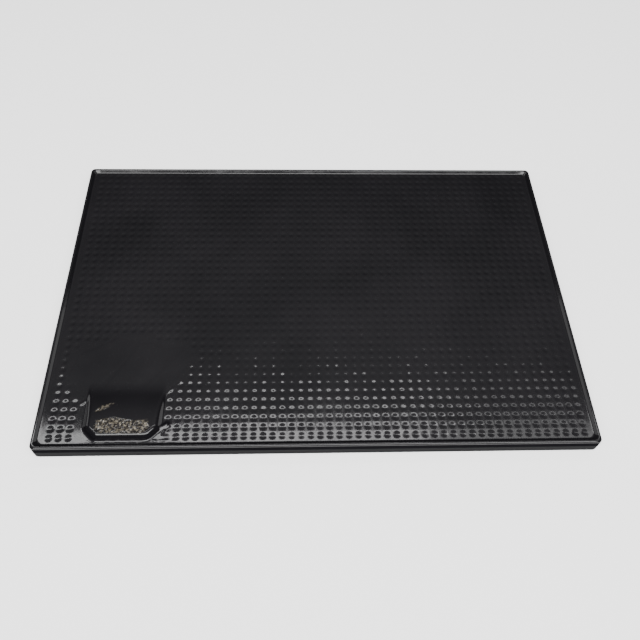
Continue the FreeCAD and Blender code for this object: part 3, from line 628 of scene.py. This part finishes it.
@dataclass
class Bowl:
    """A shallow dimple whose section is one wave of a cosine, with the rings that its mesh is made of."""

    radius: float = 4.85
    depth: float = 0.27
    rings: tuple[float, ...] = (1.0, 0.78, 0.52, 0.26)
    corners: int = 12

    def depth_at(self, radius: Array) -> Array:
        """Depth at a distance from the dimple's centre."""
        share = np.clip(radius / self.radius, 0.0, 1.0)
        return self.depth * (1.0 + np.cos(np.pi * share)) / 2.0

    def tile(self, pitch: float) -> bpy.types.Object:
        """One square cell of the lattice with its dimple, centred at the origin.

        Args:
            pitch: side of the square in millimetres.

        Returns:
            A helper object, to be removed after use.
        """
        half = pitch / 2
        points = [(sx * half, sy * half, 0.0) for sx, sy in ((1, 1), (-1, 1), (-1, -1), (1, -1))]
        for share in self.rings:
            radius = share * self.radius
            for step in range(self.corners):
                angle = 2 * math.pi * step / self.corners
                low = -float(self.depth_at(radius))
                points.append((radius * math.cos(angle), radius * math.sin(angle), low))
        points.append((0.0, 0.0, -self.depth))
        quarter = self.corners // 4
        faces = []
        for corner in range(4):
            for step in range(quarter):
                here = corner * quarter + step
                faces.append((corner, 4 + (here + 1) % self.corners, 4 + here))
            faces.append((corner, (corner + 1) % 4, 4 + (corner + 1) * quarter % self.corners))
        for band in range(len(self.rings) - 1):
            outer, inner = 4 + band * self.corners, 4 + (band + 1) * self.corners
            for step in range(self.corners):
                ahead = (step + 1) % self.corners
                faces.append((outer + step, outer + ahead, inner + ahead, inner + step))
        last = 4 + (len(self.rings) - 1) * self.corners
        for step in range(self.corners):
            faces.append((last + step, last + (step + 1) % self.corners, len(points) - 1))
        mesh = bpy.data.meshes.new("dimple_tile")
        mesh.from_pydata([tuple(value * MM for value in point) for point in points], [], faces)
        return new_piece("dimple_tile", mesh)


class NodeTree:
    """A Geometry Nodes tree with named inputs."""

    def __init__(self, name: str) -> None:
        """Start a tree with a geometry input and output.

        Args:
            name: name of the helper object.
        """
        self.tree = bpy.data.node_groups.new(name, "GeometryNodeTree")
        self.tree.interface.new_socket(name="Geometry", in_out="INPUT", socket_type="NodeSocketGeometry")
        self.tree.interface.new_socket(name="Geometry", in_out="OUTPUT", socket_type="NodeSocketGeometry")
        self.source = self.tree.nodes.new("NodeGroupInput")
        self.result = self.tree.nodes.new("NodeGroupOutput")
        self.values: dict[str, Any] = {}

    def setting(self, name: str, kind: str, value: Any) -> bpy.types.NodeSocket:
        """Add a named input and remember its value.

        Args:
            name: name of the input.
            kind: Blender's socket type.
            value: what the modifier sets it to.

        Returns:
            The socket that carries it inside the tree.
        """
        socket = self.tree.interface.new_socket(name=name, in_out="INPUT", socket_type=kind)
        self.values[socket.identifier] = value
        return next(out for out in self.source.outputs if out.identifier == socket.identifier)

    def add(self, kind: str, settings: dict[str, Any], sockets: dict[Any, Any]) -> bpy.types.Node:
        """Add a node with its settings, then its inputs as numbers or links.

        Args:
            kind: Blender's type of the node.
            settings: properties of the node.
            sockets: numbers or links for its inputs.

        Returns:
            The new node.
        """
        node = self.tree.nodes.new(kind)
        for key, value in settings.items():
            setattr(node, key, value)
        for key, value in sockets.items():
            if isinstance(value, bpy.types.NodeSocket):
                self.tree.links.new(value, node.inputs[key])
            else:
                node.inputs[key].default_value = value
        return node

    def run(self, name: str) -> bpy.types.Mesh:
        """Evaluate the tree on an empty mesh and return the plain result.

        Args:
            name: name of the helper object.

        Returns:
            The evaluated mesh.
        """
        holder = bpy.data.objects.new(name, bpy.data.meshes.new(name + "_seed"))
        bpy.context.scene.collection.objects.link(holder)
        modifier = holder.modifiers.new(name, "NODES")
        modifier.node_group = self.tree
        for identifier, value in self.values.items():
            modifier[identifier] = value
        evaluated = holder.evaluated_get(bpy.context.evaluated_depsgraph_get())
        mesh = bpy.data.meshes.new_from_object(evaluated)
        bpy.data.objects.remove(holder)
        return mesh


@dataclass
class EmbossedField:
    """The dimpled part of the skin, outside the smooth patch by the junction bay."""

    lattice: Lattice
    bowl: Bowl = field(default_factory=Bowl)
    top: float = LEVELS.field
    thickness: float = LEVELS.skin
    shallowest: float = 0.65
    deepest: float = 1.2
    seed: int = 11
    weld: float = 0.02

    def lattice_tree(self, tile: bpy.types.Object) -> NodeTree:
        """Nodes that set one tile on every cell of the lattice but those of the patch.

        Args:
            tile: the helper object with one cell.

        Returns:
            The tree, not yet evaluated.
        """
        grid = self.lattice
        nodes = NodeTree("dimple_lattice")
        span_x, span_y = (grid.columns - 1) * grid.pitch, (grid.rows - 1) * grid.pitch
        length = nodes.setting("Length", "NodeSocketFloat", span_x * MM)
        width = nodes.setting("Width", "NodeSocketFloat", span_y * MM)
        columns = nodes.setting("Columns", "NodeSocketInt", grid.columns)
        rows = nodes.setting("Rows", "NodeSocketInt", grid.rows)
        centre = nodes.setting("Centre", "NodeSocketVector", (
            (grid.first_x + span_x / 2 - grid.half_length) * MM,
            (grid.first_y + span_y / 2 - grid.half_width) * MM, self.top * MM))
        patch_x = nodes.setting("Patch right", "NodeSocketFloat",
                                (grid.column_edge(grid.patch_columns) - grid.half_length) * MM)
        patch_y = nodes.setting("Patch back", "NodeSocketFloat",
                                (grid.row_edge(grid.patch_rows) - grid.half_width) * MM)
        shallowest = nodes.setting("Shallowest", "NodeSocketFloat", self.shallowest)
        deepest = nodes.setting("Deepest", "NodeSocketFloat", self.deepest)
        seed = nodes.setting("Seed", "NodeSocketInt", self.seed)
        cell = nodes.setting("Cell", "NodeSocketObject", tile)
        finish = nodes.setting("Finish", "NodeSocketMaterial", SKIN.material())
        points = nodes.add("GeometryNodeMeshGrid", {}, {0: length, 1: width, 2: columns, 3: rows})
        placed = nodes.add("GeometryNodeSetPosition", {}, {"Geometry": points.outputs[0], "Offset": centre})
        spot = nodes.add("GeometryNodeInputPosition", {}, {})
        parts = nodes.add("ShaderNodeSeparateXYZ", {}, {0: spot.outputs[0]})
        below = {"operation": "LESS_THAN"}
        left = nodes.add("FunctionNodeCompare", below, {0: parts.outputs[0], 1: patch_x})
        front = nodes.add("FunctionNodeCompare", below, {0: parts.outputs[1], 1: patch_y})
        both = nodes.add("FunctionNodeBooleanMath", {"operation": "AND"},
                         {0: left.outputs[0], 1: front.outputs[0]})
        kept = nodes.add("GeometryNodeDeleteGeometry", {},
                         {"Geometry": placed.outputs[0], "Selection": both.outputs[0]})
        depth = nodes.add("FunctionNodeRandomValue", {"data_type": "FLOAT"},
                          {2: shallowest, 3: deepest, "Seed": seed})
        scale = nodes.add("ShaderNodeCombineXYZ", {}, {0: 1.0, 1: 1.0, 2: depth.outputs[1]})
        source = nodes.add("GeometryNodeObjectInfo", {"transform_space": "ORIGINAL"}, {"Object": cell})
        tiles = nodes.add("GeometryNodeInstanceOnPoints", {}, {
            "Points": kept.outputs[0], "Instance": source.outputs["Geometry"], "Scale": scale.outputs[0]})
        real = nodes.add("GeometryNodeRealizeInstances", {}, {0: tiles.outputs[0]})
        dressed = nodes.add("GeometryNodeSetMaterial", {}, {"Geometry": real.outputs[0], "Material": finish})
        nodes.tree.links.new(dressed.outputs[0], nodes.result.inputs[0])
        return nodes

    def close_below(self, mesh: bpy.types.Mesh) -> None:
        """Weld the cells and close the sheet with upright edges and a flat underside.

        Args:
            mesh: the open sheet of cells, changed in place.
        """
        work = bmesh.new()
        work.from_mesh(mesh)
        bmesh.ops.remove_doubles(work, verts=work.verts, dist=self.weld * MM)
        rim = [edge for edge in work.edges if edge.is_boundary]
        lower = {}
        for corner in {vert for edge in rim for vert in edge.verts}:
            lower[corner] = work.verts.new((corner.co.x, corner.co.y, (self.top - self.thickness) * MM))
        ahead = {}
        for edge in rim:
            loop = edge.link_loops[0]
            first, second = loop.vert, loop.link_loop_next.vert
            work.faces.new((second, first, lower[first], lower[second]))
            ahead[first] = second
        start = next(iter(ahead))
        ring, here = [start], ahead[start]
        while here is not start:
            ring.append(here)
            here = ahead[here]
        work.faces.new([lower[corner] for corner in reversed(ring)])
        work.to_mesh(mesh)
        work.free()

    def build(self) -> None:
        """Build and dress the dimpled field."""
        tile = self.bowl.tile(self.lattice.pitch)
        mesh = self.lattice_tree(tile).run("skin_field")
        bpy.data.objects.remove(tile)
        self.close_below(mesh)
        finish_piece(new_piece("skin_field", mesh), SKIN, ("top_skin",))


@dataclass
class BayCover:
    """The skin's raised cover over the junction bay: a wedge with a chamfered front, highest at the front."""

    left: float = 50.6
    right: float = 133.4
    front: float = 9.3
    back: float = 69.0
    chamfer: float = 13.0
    peak_y: float = 14.7
    peak: float = 6.3
    fall: float = 0.04
    front_slope: float = 1.58
    side_slope: float = 1.2
    back_slope: float = 0.2
    shoulder: float = 4.5
    back_shoulder: float = 2.5
    foot: float = 1.6

    def faces(self, x: Array, y: Array) -> list[tuple[Array, float, float]]:
        """Distance inward from the foot of each side, its slope and how far its top is rounded.

        Args:
            x: places along X, from the left edge.
            y: places along Y, from the front edge.

        Returns:
            Distance, slope and rounding of each side.
        """
        across = ((x - self.left) + (y - self.front) - self.chamfer) / math.sqrt(2)
        across_right = ((self.right - x) + (y - self.front) - self.chamfer) / math.sqrt(2)
        return [(y - self.front, self.front_slope, self.shoulder),
                (across, self.front_slope, self.shoulder),
                (across_right, self.front_slope, self.shoulder),
                (x - self.left, self.side_slope, self.shoulder),
                (self.right - x, self.side_slope, self.shoulder),
                (self.back - y, self.back_slope, self.back_shoulder)]

    def height(self, x: Array, y: Array, thickness: float = 0.0) -> Array:
        """Height above the field, less a thickness measured square to each face.

        Args:
            x: places along X, from the left edge.
            y: places along Y, from the front edge.
            thickness: thickness of the skin.

        Returns:
            Height above the field.
        """
        result = self.peak - self.fall * (y - self.peak_y) - thickness * math.hypot(1.0, self.fall)
        for distance, slope, round_off in self.faces(x, y):
            side = distance * slope - thickness * math.hypot(1.0, slope)
            result = soft_min(result, side, round_off)
        return result


@dataclass
class Fold:
    """A straight ridge or dent between two points, with a rounded section."""

    start: tuple[float, float]
    end: tuple[float, float]
    height: float
    width: float

    def height_at(self, x: Array, y: Array) -> Array:
        """Height of the fold at each point.

        Args:
            x: places along X, from the left edge.
            y: places along Y, from the front edge.

        Returns:
            Height of the fold.
        """
        (ax, ay), (bx, by) = self.start, self.end
        ex, ey = bx - ax, by - ay
        share = np.clip(((x - ax) * ex + (y - ay) * ey) / max(ex * ex + ey * ey, 1e-6), 0.0, 1.0)
        away = np.hypot(x - ax - share * ex, y - ay - share * ey)
        return self.height * np.exp(-(away / self.width) ** 2)


@dataclass
class PatchRelief:
    """Height of the skin round the junction bay: cover, taped patch, folds, crinkles and the last dimples."""

    lattice: Lattice
    bowl: Bowl
    cover: BayCover = field(default_factory=BayCover)
    smooth_outline: list[tuple[float, float]] = field(default_factory=lambda: [
        (47, 5), (46, 40), (47, 51), (35, 60), (24, 85), (21, 101), (24, 118), (35, 127), (62, 132),
        (95, 139), (118, 131), (150, 129), (160, 110), (155, 95), (143, 75), (132, 58), (134, 30),
        (137, 22), (136, 5)])
    tapes: list[list[tuple[float, float]]] = field(default_factory=lambda: [
        [(25, 85), (32, 112), (74, 134), (87, 108), (47.5, 60)],
        [(54, 50), (87.6, 108), (97, 127), (113, 127), (124, 50)],
        [(113.7, 124), (135, 119), (147, 122), (161, 99), (128, 56), (120, 52)]])
    foil_front: list[tuple[float, float]] = field(default_factory=lambda: [
        (63, 20), (72, 15.5), (114, 14.5), (121, 21), (119, 31), (100, 30), (86, 34), (72, 32), (64, 30)])
    foil_leaf: list[tuple[float, float]] = field(default_factory=lambda: [
        (60, 40), (64, 40), (74, 44), (82, 51.5), (74, 51), (65, 47)])
    folds: list[Fold] = field(default_factory=lambda: [
        Fold((126, 55), (141, 70), 0.13, 1.5), Fold((145.8, 74.8), (146.2, 75.2), 0.12, 1.3),
        Fold((45, 52), (52, 58), 0.16, 1.4), Fold((50, 50), (46, 60), 0.1, 1.2),
        Fold((80, 62), (82, 67), -0.3, 2.4), Fold((129, 22), (138.5, 27), 1.9, 2.4),
        Fold((138.5, 27), (134.5, 17), 0.5, 1.1), Fold((108, 66), (150, 118), 0.05, 2.5),
        Fold((60, 66), (34, 96), 0.04, 3.0)])
    tape_rise: float = 0.06
    tape_gap: float = 0.22
    slack_rise: float = 0.1
    crinkle_mean: float = 0.45
    crinkle_fall: float = 0.95
    wrinkle_rise: float = 0.3

    def foil_share(self, x: Array, y: Array) -> Array:
        """How much of the foil shows through, from 0 to 1.

        Args:
            x: places along X, from the left edge.
            y: places along Y, from the front edge.

        Returns:
            One share for each point.
        """
        front = distance_inside(x, y, self.foil_front)
        leaf = distance_inside(x, y, self.foil_leaf)
        return np.maximum(smooth_step(front, -0.5, 2.0), 0.8 * smooth_step(leaf, -0.3, 1.6))

    def crinkle(self, x: Array, y: Array) -> Array:
        """Sharp little folds where the foil shows.

        Args:
            x: places along X, from the left edge.
            y: places along Y, from the front edge.

        Returns:
            Height of the creases.
        """
        wide, fine = Ripple(4.6, 3), Ripple(2.4, 4)
        folds = np.abs(wide(x, y, 62.0, 1.8)) + 0.6 * np.abs(fine(x, y, -48.0, 1.5))
        return self.foil_share(x, y) * (self.crinkle_mean - self.crinkle_fall * folds)

    def border_wrinkles(self, x: Array, y: Array) -> Array:
        """Small creases in the strip ahead of the cover.

        Args:
            x: places along X, from the left edge.
            y: places along Y, from the front edge.

        Returns:
            Height of the creases.
        """
        strip = smooth_step(x, 54, 66) * (1 - smooth_step(x, 138, 156)) * smooth_step(y, 6.6, 7.6)
        strip = strip * (1 - smooth_step(y, 9.2, 11.0))
        return strip * self.wrinkle_rise * np.abs(Ripple(3.2, 8)(x, y, 20.0, 1.6))

    def dimples(self, x: Array, y: Array) -> Array:
        """Depth of the dimples, which fade out at the smooth outline.

        Args:
            x: places along X, from the left edge.
            y: places along Y, from the front edge.

        Returns:
            Depth of the dimples.
        """
        grid = self.lattice
        column = np.clip(np.round((x - grid.first_x) / grid.pitch), 0, grid.columns - 1)
        row = np.clip(np.round((y - grid.first_y) / grid.pitch), 0, grid.rows - 1)
        centre_x, centre_y = grid.first_x + column * grid.pitch, grid.first_y + row * grid.pitch
        outside = -distance_inside(centre_x, centre_y, self.smooth_outline)
        return smooth_step(outside, -1.5, 6.0) * self.bowl.depth_at(np.hypot(x - centre_x, y - centre_y))

    def tape_height(self, x: Array, y: Array) -> Array:
        """Height that the tapes under the skin add.

        Args:
            x: places along X, from the left edge.
            y: places along Y, from the front edge.

        Returns:
            Height above the field.
        """
        result = np.zeros(np.shape(x))
        for outline in self.tapes:
            raised = self.tape_rise * smooth_step(distance_inside(x, y, outline), -1.5, 2.0)
            result = np.maximum(result, raised)
        return result

    def top(self, x: Array, y: Array) -> Array:
        """Height of the skin's upper face above the field.

        Args:
            x: places along X, from the left edge.
            y: places along Y, from the front edge.

        Returns:
            Height above the field.
        """
        slack = smooth_step(distance_inside(x, y, self.smooth_outline), -2.0, 8.0)
        plain = self.tape_height(x, y) + slack * self.slack_rise * Ripple(15.0, 5)(x, y, 35.0, 1.4)
        for fold in self.folds:
            plain = plain + fold.height_at(x, y)
        plain = plain - self.dimples(x, y) + self.border_wrinkles(x, y)
        raised = soft_max(plain, self.cover.height(x, y), self.cover.foot)
        return raised + self.crinkle(x, y)

    def underside(self, x: Array, y: Array, thickness: float) -> Array:
        """Height of the skin's lower face above the field.

        Args:
            x: places along X, from the left edge.
            y: places along Y, from the front edge.
            thickness: thickness of the skin.

        Returns:
            Height above the field.
        """
        taped = [distance_inside(x, y, outline) for outline in self.tapes]
        flat = -thickness + self.tape_gap * (np.max(taped, axis=0) > -0.6)
        return np.maximum(flat, self.cover.height(x, y, thickness) - 0.02)


@dataclass
class SkinEdge:
    """The skin's skirt, its raised lip and the strip and patch inside it."""

    lattice: Lattice
    relief: PatchRelief
    top: float = LEVELS.field
    lip_top: float = LEVELS.lip_top
    seam: float = LEVELS.seam
    thickness: float = LEVELS.skin
    corner_radius: float = 5.0
    inner_radius: float = 6.0
    outer_round: float = 1.9
    crown_width: float = 0.7
    inner_round: float = 1.2
    lean: float = 50.0
    foot_round: float = 2.0
    seam_round: float = 0.3
    arc_steps: int = 5
    corner_steps: int = 10
    step: float = 0.9
    notch_middle: float = 28.0
    notch_half: float = 8.2
    notch_top: float = LEVELS.notch_top
    notch_step: float = 0.02
    notch_depth: float = 1.5
    skirt_depth: float = 0.6

    def profile(self) -> list[tuple[float, float, float, float]]:
        """Section of the edge from the skirt's lower rim to the field.

        Returns:
            Inset and level of the outer face, then inset and level of the inner face, row by row.
        """
        thick = self.thickness
        rows = [(self.seam_round, self.seam, thick, self.seam),
                (0.0, self.seam + self.seam_round, thick, self.seam + self.seam_round)]
        centre = (self.outer_round, self.lip_top - self.outer_round)
        for index in range(self.arc_steps + 1):
            angle = math.pi - math.pi / 2 * index / self.arc_steps
            rows.append(self._arc_row(centre, angle, self.outer_round, -thick))
        centre = (self.outer_round + self.crown_width, self.lip_top - self.inner_round)
        lean = math.radians(self.lean)
        for index in range(self.arc_steps + 1):
            angle = math.pi / 2 - lean * index / self.arc_steps
            rows.append(self._arc_row(centre, angle, self.inner_round, -thick))
        foot_level = self.top + self.foot_round
        start_level = foot_level - self.foot_round * math.cos(lean)
        reach = (rows[-1][1] - start_level) / math.tan(lean)
        centre = (rows[-1][0] + reach + self.foot_round * math.sin(lean), foot_level)
        for index in range(self.arc_steps + 1):
            angle = -math.pi / 2 - lean * (1 - index / self.arc_steps)
            rows.append(self._arc_row(centre, angle, self.foot_round, thick))
        return rows

    @staticmethod
    def _arc_row(centre: tuple[float, float], angle: float, radius: float, other: float
                 ) -> tuple[float, float, float, float]:
        """One row on an arc, with the inner face a thickness away.

        Args:
            centre: inset and level of the centre of the arc.
            angle: angle of the row, in radians.
            radius: radius of the outer face.
            other: how much larger the radius of the inner face is.

        Returns:
            Inset and level of the outer face, then of the inner face.
        """
        cosine, sine = math.cos(angle), math.sin(angle)
        inner = radius + other
        return (centre[0] + radius * cosine, centre[1] + radius * sine,
                centre[0] + inner * cosine, centre[1] + inner * sine)

    def patch_axes(self) -> tuple[Array, Array]:
        """Fine places along X and Y inside the patch.

        Returns:
            Places along X, then places along Y.
        """
        grid = self.lattice
        axes = []
        for low, high in ((grid.column_edge(0), grid.column_edge(grid.patch_columns)),
                          (grid.row_edge(0), grid.row_edge(grid.patch_rows))):
            axes.append(np.linspace(low, high, round((high - low) / self.step) + 1))
        ends = [self.notch_middle + side * self.notch_half + nudge
                for side in (-1, 1) for nudge in (-self.notch_step, self.notch_step)]
        return axes[0], np.unique(np.concatenate([axes[1], ends]))

    def ring(self, box: tuple[float, float, float, float], radius: float, radius_steps: int) -> Array:
        """Points round a rectangle with round corners, the same number for every rectangle.

        Args:
            box: left, right, front and back of the rectangle, from the mat's left and front edges.
            radius: radius of its corners.
            radius_steps: segments of each corner.

        Returns:
            Points anticlockwise from the front-left corner.
        """
        left, right, front, back = box
        fine_x, fine_y = self.patch_axes()
        grid = self.lattice
        along_x = np.concatenate([fine_x, grid.column_edges(grid.patch_columns + 1)])
        along_y = np.concatenate([fine_y, grid.row_edges(grid.patch_rows + 1)])
        plain_x, plain_y = np.array(grid.column_edges()), np.array(grid.row_edges())
        low_x, high_x, low_y, high_y = left + radius, right - radius, front + radius, back - radius
        turns = [math.pi / 2 * index / radius_steps for index in range(1, radius_steps)]
        points = [(x, front) for x in np.clip(along_x, low_x, high_x)]
        points += [(high_x + radius * math.sin(turn), low_y - radius * math.cos(turn)) for turn in turns]
        points += [(right, y) for y in np.clip(plain_y, low_y, high_y)]
        points += [(high_x + radius * math.cos(turn), high_y + radius * math.sin(turn)) for turn in turns]
        points += [(x, back) for x in np.clip(plain_x[::-1], low_x, high_x)]
        points += [(low_x - radius * math.sin(turn), high_y + radius * math.cos(turn)) for turn in turns]
        points += [(left, y) for y in np.clip(along_y[::-1], low_y, high_y)]
        points += [(low_x - radius * math.cos(turn), low_y - radius * math.sin(turn)) for turn in turns]
        return np.array(points)

    def edge_rows(self) -> list[tuple[Array, Array]]:
        """Upper and lower points of every row, from the skirt to the border of the cells.

        Returns:
            Upper and lower points of each row.
        """
        grid = self.lattice
        length, width = 2 * grid.half_length, 2 * grid.half_width
        rows = []
        profile = self.profile()
        full_inset = profile[-1][0]
        for inset, level, low_inset, low_level in profile:
            pair = []
            for depth, height in ((inset, level), (low_inset, low_level)):
                share = min(depth / full_inset, 1.0)
                radius = self.corner_radius + share * (self.inner_radius - self.corner_radius)
                flat = self.ring((depth, length - depth, depth, width - depth), radius, self.corner_steps)
                pair.append(np.column_stack([flat, np.full(len(flat), height)]))
            rows.append(tuple(pair))
        for upper, lower in rows[:2]:
            left_wall = upper[:, 0] < self.notch_depth
            notched = left_wall & (np.abs(upper[:, 1] - self.notch_middle) < self.notch_half)
            for points in (upper, lower):
                points[notched, 2] += self.notch_top - self.seam
        cells = (grid.column_edge(0), grid.column_edge(grid.columns),
                 grid.row_edge(0), grid.row_edge(grid.rows))
        border = self.ring(cells, 0.0, self.corner_steps)
        foot = rows[-1][0][:, :2]
        for share in (1 / 3, 2 / 3, 1.0):
            flat = foot * (1 - share) + border * share
            rows.append((self.upper_points(flat), self.lower_points(flat)))
        return rows

    def upper_points(self, flat: Array) -> Array:
        """Points of the upper face above places in plan."""
        return np.column_stack([flat, self.top + self.relief.top(flat[:, 0], flat[:, 1])])

    def lower_points(self, flat: Array) -> Array:
        """Points of the lower face below places in plan."""
        level = self.top + self.relief.underside(flat[:, 0], flat[:, 1], self.thickness)
        return np.column_stack([flat, level])

    def sheet(self) -> tuple[Array, Array, list[tuple[int, ...]]]:
        """Upper and lower points of the whole piece and the faces of its upper side.

        Returns:
            Upper points, lower points and faces.
        """
        rows = self.edge_rows()
        count = len(rows[0][0])
        faces = []
        for index in range(len(rows) - 1):
            for place in range(count):
                ahead = (place + 1) % count
                faces.append((index * count + place, index * count + ahead,
                              (index + 1) * count + ahead, (index + 1) * count + place))
        across, along = self.patch_axes()
        grid_x, grid_y = np.meshgrid(across, along)
        flat = np.column_stack([grid_x.ravel(), grid_y.ravel()])
        start = len(rows) * count
        for row in range(len(along) - 1):
            for column in range(len(across) - 1):
                corner = start + row * len(across) + column
                faces.append((corner, corner + 1, corner + len(across) + 1, corner + len(across)))
        upper = np.concatenate([pair[0] for pair in rows] + [self.upper_points(flat)])
        lower = np.concatenate([pair[1] for pair in rows] + [self.lower_points(flat)])
        return upper, lower, faces

    def build(self) -> None:
        """Build and dress the edge, the patch and the bay cover as one closed shell."""
        upper, lower, faces = self.sheet()
        keys, index, welded = np.unique(np.round(upper, 4), axis=0, return_index=True, return_inverse=True)
        upper, lower = upper[index], lower[index]
        welded = welded.reshape(-1)
        count = len(keys)
        shell, used = [], {}
        for face in faces:
            ring = [int(welded[corner]) for corner in face]
            ring = [corner for place, corner in enumerate(ring) if corner != ring[place - 1]]
            if len(set(ring)) < 3:
                continue
            shell.append(tuple(ring))
            for place, corner in enumerate(ring):
                used[(ring[place - 1], corner)] = True
        walls = [(second, first, first + count, second + count) for first, second in used
                 if (second, first) not in used]
        below = [tuple(corner + count for corner in reversed(face)) for face in shell]
        points = np.concatenate([upper, lower])
        points[:, 0] -= self.lattice.half_length
        points[:, 1] -= self.lattice.half_width
        mesh = bpy.data.meshes.new("skin_cover")
        mesh.from_pydata((points * MM).tolist(), [], shell + walls + below)
        foil = mesh.attributes.new("foil", "FLOAT", "POINT")
        share = self.relief.foil_share(upper[:, 0], upper[:, 1])
        foil.data.foreach_set("value", np.concatenate([share, np.zeros(count)]).astype(np.float32))
        piece = new_piece("skin_cover", mesh)
        finish_piece(piece, SKIN, ("top_skin",))
        mesh.materials.append(SKIRT.material())
        reach_x = (self.lattice.half_length - self.skirt_depth) * MM
        reach_y = (self.lattice.half_width - self.skirt_depth) * MM
        wall_top = (self.lip_top - self.outer_round) * MM
        for face in mesh.polygons:
            if face.center.z < wall_top and (abs(face.center.x) > reach_x or abs(face.center.y) > reach_y):
                face.material_index = 1


# ---------------------------------------------------------------- studio
@dataclass(frozen=True)
class Softbox:
    """A rectangular light, in metres, whose glow of 1 is a white surface in full light."""

    name: str
    place: tuple[float, float, float]
    target: tuple[float, float, float]
    size: tuple[float, float]
    glow: float

    def build(self) -> None:
        """Add the light to the scene."""
        data = bpy.data.lights.new(self.name, "AREA")
        data.shape = "RECTANGLE"
        data.size, data.size_y = self.size
        data.energy = self.glow * math.pi * self.size[0] * self.size[1]
        lamp = bpy.data.objects.new(self.name, data)
        lamp.location = self.place
        lamp.rotation_mode = "QUATERNION"
        lamp.rotation_quaternion = (Vector(self.target) - Vector(self.place)).to_track_quat("-Z", "Y")
        lamp.visible_camera = False
        bpy.context.scene.collection.objects.link(lamp)


LIGHTS = (
    Softbox("strip", (-0.2, 0.207, 0.92), (-0.2, -0.1, 0.0), (1.0, 0.042), 10.0),
    Softbox("strip_end", (0.53, 0.207, 0.92), (0.53, -0.1, 0.0), (0.46, 0.042), 3.5),
    Softbox("fill", (0.0, -1.0, 1.7), (0.0, -0.1, 0.0), (2.4, 1.1), 8.0),
    Softbox("right_panel", (1.6, 0.7, 0.5), (0.0, 0.0, 0.0), (0.9, 0.6), 1.3),
    Softbox("left_panel", (-1.6, 0.7, 0.5), (0.0, 0.0, 0.0), (0.9, 0.6), 1.3),
)


@dataclass
class Studio:
    """Floor, room light and camera."""

    lip_top: float = LEVELS.lip_top
    focal_to_sensor: float = 1.15390625
    shift: float = -0.109
    camera_turns: tuple[float, float, float] = (-38.0, 1.82, 1.51)
    camera_offset: tuple[float, float, float] = (-5.0, -46.0, -892.0)
    sensor: float = 36.0
    floor_half: float = 6.0
    floor_glow: float = 1.4
    floor_tones: tuple[Colour, Colour] = ((0.86, 0.86, 0.86), (0.88, 0.88, 0.88))
    room_light: tuple[tuple[float, float], ...] = (
        (0.0, 0.05), (0.55, 0.07), (0.7, 0.16), (0.85, 0.4), (1.0, 0.6))

    def camera(self) -> None:
        """Set up the camera in front of the mat, looking down at it."""
        data = bpy.data.cameras.new("camera")
        data.sensor_width = self.sensor
        data.lens = self.focal_to_sensor * data.sensor_width
        data.shift_y = self.shift
        data.clip_start, data.clip_end = 0.05, 50.0
        turns = [Matrix.Rotation(math.radians(angle), 4, axis)
                 for angle, axis in zip(self.camera_turns, "XYZ")]
        seen = Matrix.Translation(Vector(self.camera_offset) * MM) @ turns[0] @ turns[1] @ turns[2]
        holder = bpy.data.objects.new("camera", data)
        holder.matrix_world = Matrix.Translation((0, 0, self.lip_top * MM)) @ seen.inverted()
        bpy.context.scene.collection.objects.link(holder)
        bpy.context.scene.camera = holder

    def floor(self) -> None:
        """Lay a plain pale floor."""
        mesh = bpy.data.meshes.new("floor")
        half = self.floor_half
        corners = [(-half, -half, 0), (half, -half, 0), (half, half, 0), (-half, half, 0)]
        mesh.from_pydata(corners, [], [(0, 1, 2, 3)])
        piece = bpy.data.objects.new("floor", mesh)
        bpy.context.scene.collection.objects.link(piece)
        sheet = ShaderSheet("floor_white")
        tone = sheet.noise(400.0)
        mesh.materials.append(sheet.dress(
            Base_Color=sheet.blend(tone, *self.floor_tones), Roughness=0.8,
            Emission_Color=(1.0, 1.0, 1.0, 1.0), Emission_Strength=self.floor_glow))

    def world(self) -> None:
        """Fill the room with a dim light that grows towards the ceiling."""
        world = bpy.data.worlds.new("room")
        world.use_nodes = True
        tree = world.node_tree
        back = tree.nodes["Background"]
        spot = tree.nodes.new("ShaderNodeTexCoord")
        parts = tree.nodes.new("ShaderNodeSeparateXYZ")
        ramp = tree.nodes.new("ShaderNodeValToRGB")
        ShaderSheet.set_stops(ramp.color_ramp, self.room_light)
        tree.links.new(spot.outputs["Generated"], parts.inputs[0])
        tree.links.new(parts.outputs["Z"], ramp.inputs[0])
        tree.links.new(ramp.outputs[0], back.inputs["Color"])
        back.inputs["Strength"].default_value = 1.0
        bpy.context.scene.world = world

    def build(self) -> None:
        """Build the whole set."""
        self.camera()
        self.floor()
        self.world()
        for light in LIGHTS:
            light.build()
        log.info("studio: camera, floor and %d lights", len(LIGHTS))


def dress_design_nodes() -> None:
    """Give every node of the design its finish."""
    for finish, nodes in NODE_FINISHES.items():
        for name in nodes:
            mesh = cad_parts[name].data
            mesh.materials.clear()
            mesh.materials.append(finish.material())
            log.info("%s: finish %s", name, finish.name)


def main() -> None:
    """Build every piece in order."""
    logging.basicConfig(level=logging.INFO, format="%(name)s %(message)s")
    lattice = Lattice()
    bowl = Bowl()
    dress_design_nodes()
    EmbossedField(lattice, bowl).build()
    SkinEdge(lattice, PatchRelief(lattice, bowl)).build()
    Studio().build()


if __name__ == "__main__":
    main()
